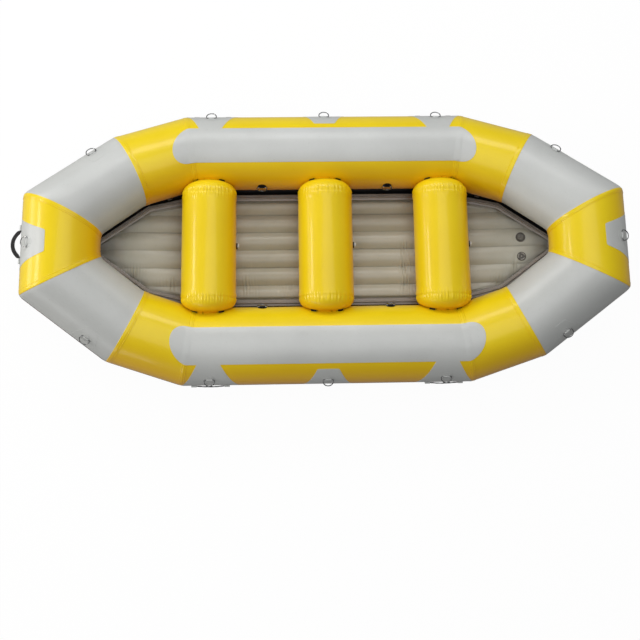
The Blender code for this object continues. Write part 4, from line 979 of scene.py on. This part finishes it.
def deckHeight(x, y, loop, top):
    # channels: arcs of a circle between the sewn seams; the edge rolls down as a quarter round
    edge = edgeDistance(x, y, loop)
    near = np.clip(edge / deck["roll"], 0, 1)
    swell = np.sqrt(np.clip(1 - (1 - near) ** 2, 0, 1))
    across = (np.abs(y) / deck["pitch"]) % 1 * 2 - 1
    arc = deck["arc"]
    dip = deck["dip"] * (1 - (np.cos(across * arc) - math.cos(arc)) / (1 - math.cos(arc)))
    dip = dip * (1 - deck["noseFlat"] * toNose(x))
    if not top:
        return floorTop + deckRise(x) - deck["deep"] + (deck["deep"] - deck["thick"] + dip) * swell
    # wrinkles: a sum of sines, let through by a bell round each gathered patch and strongest at the seams
    seam = 0.35 + 0.65 * bell(np.abs(across), 1, 0.45)
    pleat = sum(np.sin(x * alongX + y * alongY + phase) for alongX, alongY, phase in pleatWaves) / 3
    patch = sum(height * bell(x - midX, px, spreadX) * bell(y, py, spreadY)
                for px, py, spreadX, spreadY, height in deck["pleats"])
    rim = bell(edge, *deck["rimAt"])
    sag = pleat * (deck["pleatHigh"] * seam * patch + deck["rimHigh"] * rim)
    groove = deck["groove"] * (1 - toNose(x)) * bell(edge, *deck["grooveAt"])
    z = floorTop + deckRise(x) - deck["flangeDrop"] * (1 - swell) + (sag - dip) * swell - groove
    # a flat seat under each valve
    plane = floorTop + deckRise(valves["x"]) + (x - valves["x"]) * valves["slope"] - valves["seatDrop"]
    for seatY in (valves["floorY"], valves["reliefY"]):
        mask = softStep((valves["seatR"] - np.hypot(x - valves["x"], y - seatY)) / valves["seatSoft"])
        z = z * (1 - mask) + plane * mask
    return z


siltAndShade = {"seam": 0.50, "seamWide": 0.0045, "rim": 0.90, "rimWide": 0.012, "widen": 1.8, "stern": 0.95,
        "sternLong": 0.15, "bow": 0.80, "bowLong": 0.10}


def siltAndShadeAt(x, y, loop):
    # 0 clean and lit to 1 dark: silt in bells across the seams, and painted shade fading in from the rim and
    #                            from each nose
    fromSeam = np.abs((y / deck["pitch"] + 0.5) % 1 - 0.5) * deck["pitch"]
    uneven = 0.6 + 0.4 * np.sin(x * 2.1 + y * 31.0)
    seams = siltAndShade["seam"] * bell(fromSeam, 0, siltAndShade["seamWide"]) * uneven
    fade = siltAndShade["rimWide"] * (1 + siltAndShade["widen"] * toNose(x))
    rim = siltAndShade["rim"] * np.exp(-edgeDistance(x, y, loop) / fade)
    stern = siltAndShade["stern"] * bell(x, loop[0, 0], siltAndShade["sternLong"])
    bow = siltAndShade["bow"] * bell(x, loop[5, 0], siltAndShade["bowLong"])
    return 1 - (1 - seams) * (1 - rim) * (1 - stern) * (1 - bow)


# the floor's grid: rows crowd at both ends and in the pleats, columns at the seams and along the edge
deckGrid = {
    "ends": np.array([0, 0.0015, 0.004, 0.008, 0.013, 0.02, 0.028, 0.037, 0.047]), "endGap": 0.06,
    "seam": np.array([-0.10, -0.05, -0.022, 0, 0.022, 0.05, 0.10, 0.2, 0.3, 0.4, 0.5, 0.6, 0.7, 0.8]),
    "edge": np.array([0, 0.0012, 0.003, 0.005, 0.008, 0.011, 0.013, 0.017, 0.024, 0.032]), "margin": 0.034,
    "rows": 130, "pleatStep": 0.0045, "pleatOver": 2.2, "leastStep": 0.0008, "halfWide": 0.345,
}


def makeFloor():
    loop = insetLoop(deckInsets(1.0))
    # half width at each station, from the outline's port side
    xs, half = loop[:6, 0], loop[:6, 1]
    ends, gap = deckGrid["ends"], deckGrid["endGap"]
    x = [xs[0] + ends, np.linspace(xs[0] + gap, xs[-1] - gap, deckGrid["rows"]), xs[-1] - ends[::-1]]
    over = deckGrid["pleatOver"]
    x += [midX + px + np.arange(-over * spreadX, over * spreadX, deckGrid["pleatStep"])
          for px, py, spreadX, *_ in deck["pleats"]]
    x = np.sort(np.concatenate(x))
    x = x[np.append(True, np.diff(x) > deckGrid["leastStep"])]
    fine = np.concatenate([deck["pitch"] * (k + deckGrid["seam"]) for k in range(-3, 4)])
    fine = fine[np.abs(fine) < deckGrid["halfWide"]]
    y = np.unique(np.concatenate([fine, -fine]).round(6))
    wide = np.interp(x, xs, half)
    # columns keep to their channel until the outline cuts them, then lie on it
    edge = deckGrid["edge"] / deckGrid["margin"]
    inner = np.maximum(wide - deckGrid["margin"], wide * 0.15)[:, None]
    margin = wide[:, None] - inner
    yy = np.hstack([-wide[:, None] + margin * edge, np.clip(y[None, :], -inner, inner),
                    wide[:, None] - margin * edge[::-1]])
    xx = np.broadcast_to(x[:, None], yy.shape)
    top, low = (np.stack([xx, yy, deckHeight(xx, yy, loop, upper)], -1) for upper in (True, False))
    piece = makePiece("floorChannels", shellSurfaces(top, low, np.stack([xx, yy], -1)), "floor",
                      replaced=["floor"], weld=1.5e-4, sharp=60)
    spots = np.empty(len(piece.data.vertices) * 3, np.float32)
    piece.data.vertices.foreach_get("co", spots)
    siltAndShadeValues = siltAndShadeAt(spots[0::3], spots[1::3], loop).astype(np.float32)
    piece.data.attributes.new("siltAndShade", "FLOAT", "POINT").data.foreach_set("value", siltAndShadeValues)


makeFloor()


def loopRun(corners, levels, across, steps=14):
    # a profile carried round the plan: each row joins its own corners with straight runs
    sides = []
    share = np.linspace(0, 1, steps + 1)[:-1, None]
    for spot, level in zip(corners, levels):
        ring = np.vstack([a + (b - a) * share for a, b in zip(spot, np.roll(spot, -1, axis=0))])
        sides.append(np.column_stack([ring, floorTop + deckRise(ring[:, 0]) + level]))
    grid = np.stack(sides, 1)
    run = runLength(np.vstack([grid[:, 0], grid[:1, 0]]))
    return gridSurface(grid, flatGrid(run, np.append(across, across[0])), wrapRows=True, wrapCols=True)


def makeFlange():
    # flat welding flange with a round bead along its middle, a third of its width
    bead = 1 / 6
    turn = np.linspace(0, math.pi, 9)
    shares = np.array([0.0, 0.014, 0.045, *(0.5 - bead * np.cos(turn)), 0.95, 0.98, 0.993, 0.993, 0.0])
    foot = -deck["flangeThick"]
    levels = np.array([-0.0012, -0.0003, 0, *(deck["bead"] * np.sin(turn)), 0, -0.0003, -0.0012, foot, foot])
    corners = [insetLoop(deckInsets(share)) for share in shares]
    strip = loopRun(corners, levels - deck["flangeDrop"], shares * deck["flangeWide"])
    makePiece("floorFlange", [strip], "flange", replaced=["floor_flange"], sharp=50)


apron = {"wide": 0.05, "least": 0.012, "thick": 0.0016, "drop": 0.0092, "wallGap": 0.002, "wallMost": 0.235,
         "shares": [0.0, 0.03, 0.35, 0.7, 1.0], "sag": [0.0, -0.001, -0.006, -0.006, 0.0]}


def wallInsets():
    # where the tube's wall stands at the flange's level: sqrt(R^2 - height^2) from each axis
    table = []
    for spot, knot, pair in zip(insetLoop(deckInsets(0.0)), knots, deckInsets(0.0)):
        height = knot[2] - floorTop - float(deckRise(spot[0]))
        wall = math.sqrt(tubeR ** 2 - min(height, apron["wallMost"]) ** 2)
        table.append([min(wall - apron["wallGap"], each - apron["least"]) for each in pair])
    return table


def makeApron():
    # black strip that laces the flange to the underside of the tubes; it sags between the two
    near, far = insetLoop(deckInsets(0.0)), insetLoop(wallInsets())
    shares, sag = np.array(apron["shares"]), np.array(apron["sag"]) - apron["drop"]
    shares, levels = np.append(shares, shares[::-1]), np.append(sag, sag[::-1] - apron["thick"])
    corners = [near + (far - near) * share for share in shares]
    makePiece("lacedApron", [loopRun(corners, levels, shares * apron["wide"])], "black",
              replaced=["floor_apron"], sharp=60)


makeFlange()
makeApron()
print("floor laid")


# Valves: turned bodies and caps
valve = {"floorR": 0.0325, "floorHigh": 0.009, "capR": 0.021, "capThick": 0.009, "capLift": 0.0043,
         "cupClear": 0.0025, "ribs": 24, "ribHigh": 0.0011,
         "reliefR": 0.030, "windows": 6, "windowDeep": 0.0022,
         "crossCapR": 0.017, "crossSeatR": 0.0205, "chamberCapR": 0.017, "chamberSeatR": 0.020}


def turnedSurface(profile, place, sides=48, ripple=None):
    # (radius, height) rows turned round local z; ripple adds height(row, angle)
    a = np.linspace(0, 2 * math.pi, sides, endpoint=False)
    r, z = np.array(profile, float).T[..., None]
    z = z + (ripple(r, a) if ripple else 0 * a)
    return gridSurface(place(np.stack([r * np.cos(a), r * np.sin(a), z], -1)), wrapCols=True)


def capParts(radius, thick, place):
    # screw cap: chamfered rim, a dished face and a raised thumb bar that thins towards its ends
    profile = [(0, 0.0), (radius * 0.96, 0.0), (radius, thick * 0.1), (radius, thick * 0.66),
               (radius * 0.96, thick * 0.86), (radius * 0.88, thick), (radius * 0.80, thick),
               (radius * 0.76, thick * 0.80), (radius * 0.4, thick * 0.74), (0, thick * 0.72)]
    u = np.linspace(-1, 1, 17)[:, None]
    cross = np.array([(-1, 0.0), (-1, 0.75), (-0.7, 1.0), (0.7, 1.0), (1, 0.75), (1, 0.0)])
    grid = np.stack([u * radius * 0.74 * np.ones(6), radius * 0.13 * (1 - 0.35 * u ** 4) * cross[:, 0],
                     thick * (0.70 + 0.55 * cross[:, 1] * np.ones((17, 1)))], -1)
    return [turnedSurface(profile, place)] + cappedSurfaces(place(grid))


def placeOf(joint):
    # frame of a cap: the joint's point and axis, with a level direction as local x
    axis = np.array(joint["axis"], float)
    flat = np.cross(axis, (0, 1, 0) if abs(axis[1]) < 0.9 else (0, 0, 1))
    return basis(joint["pos_m"], flat, axis), axis, flat


def makeCap(name, node, radius, finish):
    place, axis, flat = placeOf(jointOf[node + "_body"])
    makePiece(name, capParts(radius, valve["capThick"], place), finish, body=node + "_body", replaced=[node],
              sharp=40)
    return place, axis, flat


def makeFloorValve():
    # a cup with ribs pressed into its wide rim, and the cap down in it
    place, axis, flat = makeCap("floorValveCap", "floor_valve_cap", valve["capR"], "greyNylon")
    body = basis(place((0, 0, -valve["capLift"])), flat, axis)
    rim, cup, high = valve["floorR"], valve["capR"] + valve["cupClear"], valve["floorHigh"]

    def ribs(r, a):
        onRim = (r > cup + 0.002) & (r < rim * 0.95)
        return valve["ribHigh"] * (np.cos(a * valve["ribs"]) > 0) * onRim

    profile = [(0, -0.001), (rim * 0.99, -0.001), (rim, 0.0005), (rim, high * 0.5), (rim * 0.97, high * 0.72),
               (rim * 0.945, high * 0.84), (rim * 0.94, high * 0.85), (cup + 0.0025, high * 0.85),
               (cup + 0.0024, high * 0.85), (cup + 0.0005, high), (cup, high * 0.93), (cup, 0.004),
               (0, 0.004)]
    makePiece("floorValveBody", [turnedSurface(profile, body, 192, ribs)], "darkNylon",
              replaced=["floor_valve"], sharp=35)


def makeReliefValve():
    # low dome with six sunk windows, three raised arcs of lighter plastic and a centre button
    slope = valves["slope"]
    tilt = math.atan(slope)
    pastKnee = valves["x"] - midX - raft["kneeX"]
    level = floorTop + raft["kneeRise"] + pastKnee * slope - valves["drop"]
    origin = (valves["x"], valves["reliefY"], level)
    place = basis(origin, (1, 0, slope), (-math.sin(tilt), 0, math.cos(tilt)))
    rim = valve["reliefR"]

    def windows(r, a):
        between = (r > rim * 0.3) & (r < rim * 0.56)
        return -valve["windowDeep"] * (np.cos(a * valve["windows"]) > 0.2) * between

    profile = [(0, -0.001), (rim * 0.99, -0.001), (rim, 0.0005), (rim, 0.0034), (rim * 0.9, 0.0072),
               (rim * 0.72, 0.0085), (rim * 0.6, 0.0089), (rim * 0.57, 0.0089), (rim * 0.55, 0.0089),
               (rim * 0.32, 0.009), (rim * 0.29, 0.009), (rim * 0.1, 0.0094), (0, 0.0094)]
    makePiece("reliefValveCover", [turnedSurface(profile, place, 144, windows)], "darkNylon",
              replaced=["relief_valve"], sharp=35)
    marks = []
    r = np.array([0.60, 0.61, 0.82, 0.83])[:, None] * rim
    z = np.broadcast_to(np.array([0.0082, 0.0095, 0.0092, 0.0070])[:, None], (4, 13))
    for start in (12, 132, 252):
        a = np.radians(np.linspace(start, start + 80, 13))
        top = np.stack([r * np.cos(a), r * np.sin(a), z], -1)
        under = top * (1, 1, 0) + (0, 0, 0.0066)
        marks += shellSurfaces(place(top), place(under))
    button = [(0, 0.0092), (rim * 0.17, 0.0092), (rim * 0.17, 0.0104), (rim * 0.13, 0.0110), (0, 0.0111)]
    marks.append(turnedSurface(button, place, 32))
    makePiece("reliefValveArcs", marks, "lightNylon", sharp=35)


makeFloorValve()
makeReliefValve()
for name in thwartNames:
    place = makeCap("crossTubeValveCap_" + name, "thwart_cap_" + name, valve["crossCapR"], "paleNylon")[0]
    r = valve["crossSeatR"]
    profile = [(0, -0.009), (r * 0.98, -0.009), (r, -0.006), (r, -0.0012), (r * 0.96, -0.0006), (0, -0.0006)]
    makePiece("crossTubeValveSeat_" + name, [turnedSurface(profile, place)], "blackNylon", sharp=40)
for end in ("port_stern", "port_bow", "star_stern", "star_bow"):
    place = makeCap("chamberValveCap_" + end, "valve_cap_" + end, valve["chamberCapR"], "darkNylon")[0]
    r = valve["chamberSeatR"]
    profile = [(0, -0.006), (r, -0.006), (r, -0.0010), (r * 0.95, -0.0005), (0, -0.0005)]
    makePiece("chamberValveSeat_" + end, [turnedSurface(profile, place, 40)], "black", sharp=40)
print("valves screwed in")


# Camera where the photograph was taken from, solved from the raft's own corners
shot = {"place": (-0.232678, -0.917943, 6.979671), "turn": (0.222087, -0.033236, -0.012083),
        "focal": 1003.535, "frame": 640.0, "centre": (320.0, 160.0), "sensor": 36.0}
camData = bpy.data.cameras.new("shotCamera")
camera = bpy.data.objects.new("shotCamera", camData)
scene.collection.objects.link(camera)
turn = Vector(shot["turn"])
camera.matrix_world = Matrix.Translation(shot["place"]) @ Matrix.Rotation(turn.length, 4, turn.normalized())
camData.sensor_width = shot["sensor"]
camData.lens = shot["focal"] * shot["sensor"] / shot["frame"]
camData.shift_x = (shot["frame"] / 2 - shot["centre"][0]) / shot["frame"]
camData.shift_y = (shot["centre"][1] - shot["frame"] / 2) / shot["frame"]
camData.clip_end = 100.0
scene.camera = camera

# Studio: a pale floor, a soft ceiling, a key light and two panels on the far side, the rest to the left
studio = {"light": "fafaf9", "shades": ("888886", "8e8e8c"), "world": 0.20, "wash": 0.965, "glossShare": 0.12,
          "floorHalf": 30.0, "floorZ": -0.0005, "aim": (0, 0, 0.3)}
lamps = {
    "ceiling": {"place": (0.3, -0.3, 6.4), "size": (6.0, 4.5), "power": 125, "tint": "ffffff"},
    "farKey": {"place": (0.2, 5.4, 5.4), "size": (4.6, 2.0), "power": 142, "tint": "ffffff"},
    "nearLeftPanel": {"place": (-4.6, -5.4, 1.7), "size": (4.8, 1.8), "power": 60, "tint": "ffffff"},
    "farLeftPanel": {"place": (-4.6, 4.6, 3.8), "size": (4.5, 3.0), "power": 165, "tint": "ffffff"},
    "farRightPanel": {"place": (4.8, 4.8, 4.0), "size": (4.0, 2.6), "power": 64, "tint": "ffffff"},
    "leftWindow": {"place": (-6.0, -0.4, 3.4), "size": (3.2, 0.95), "power": 100, "tint": "fffaf2"},
    "lowLeftPanel": {"place": (-6.8, 0.3, 1.2), "size": (2.4, 1.4), "power": 46, "tint": "ffffff"},
}


def palePaint(name):
    # matt painted floor: a mid grey for the light it throws back, near white where a lens or a gloss sees it
    mat, tree, shader = startMaterial(name, {})
    tree.nodes.remove(shader)
    lens, mirror, glass = (addNode(tree, "LightPath", out=f"Is {kind} Ray")
                           for kind in ("Camera", "Glossy", "Transmission"))
    gloss = addNode(tree, "Math", {0: mirror, 1: studio["glossShare"]}, operation="MULTIPLY")
    seen = addNode(tree, "Math", {0: lens, 1: gloss}, operation="MAXIMUM")
    seen = addNode(tree, "Math", {0: seen, 1: glass}, operation="MAXIMUM")
    share = addNode(tree, "Math", {0: seen, 1: studio["wash"]}, operation="MULTIPLY")
    mottle = addNode(tree, "TexNoise", {"Scale": 1.5, "Detail": 2.0})
    tone = addNode(tree, "ValToRGB", {"Fac": mottle}, stops=list(zip((0.3, 0.7), studio["shades"])))
    seenTone = addNode(tree, "Mix", {0: seen, 6: tone, 7: linearColour(studio["light"])}, out=2,
                       data_type="RGBA")
    paint = addNode(tree, "BsdfDiffuse", {"Color": seenTone})
    glow = addNode(tree, "Emission", {"Color": (1, 1, 1, 1), "Strength": 1.0})
    both = addNode(tree, "MixShader", {0: share, 1: paint, 2: glow})
    feed(tree, tree.nodes["Material Output"], {"Surface": both})
    return mat


ground = bpy.data.meshes.new("studioFloor")
reach, level = studio["floorHalf"], studio["floorZ"]
ground.from_pydata([(x * reach, y * reach, level) for x, y in ((-1, -1), (1, -1), (1, 1), (-1, 1))], [],
                   [(0, 1, 2, 3)])
groundPiece = bpy.data.objects.new("studioFloor", ground)
scene.collection.objects.link(groundPiece)
ground.materials.append(palePaint("mattPaintedFloor"))
groundPiece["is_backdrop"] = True

for name, look in lamps.items():
    data = bpy.data.lights.new(name, "AREA")
    data.shape = "RECTANGLE"
    data.size, data.size_y = look["size"]
    data.energy = look["power"]
    data.color = linearColour(look["tint"])[:3]
    lamp = bpy.data.objects.new(name, data)
    scene.collection.objects.link(lamp)
    aim = (Vector(studio["aim"]) - Vector(look["place"])).to_track_quat("-Z", "Y")
    lamp.matrix_world = Matrix.Translation(look["place"]) @ aim.to_matrix().to_4x4()
world = bpy.data.worlds.new("studioWorld")
world.use_nodes = True
scene.world = world
air = world.node_tree
lens = addNode(air, "LightPath", out="Is Camera Ray")
strength = addNode(air, "MapRange", {"Value": lens, "To Min": studio["world"], "To Max": 1.0})
feed(air, air.nodes["Background"], {"Color": (1.0, 1.0, 1.0, 1.0), "Strength": strength})
scene.view_settings.view_transform = "Standard"
print("studio lit")

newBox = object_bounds()
sizes = {"cad": [list(map(float, corner)) for corner in cadBox],
         "visual": [list(map(float, corner)) for corner in newBox]}
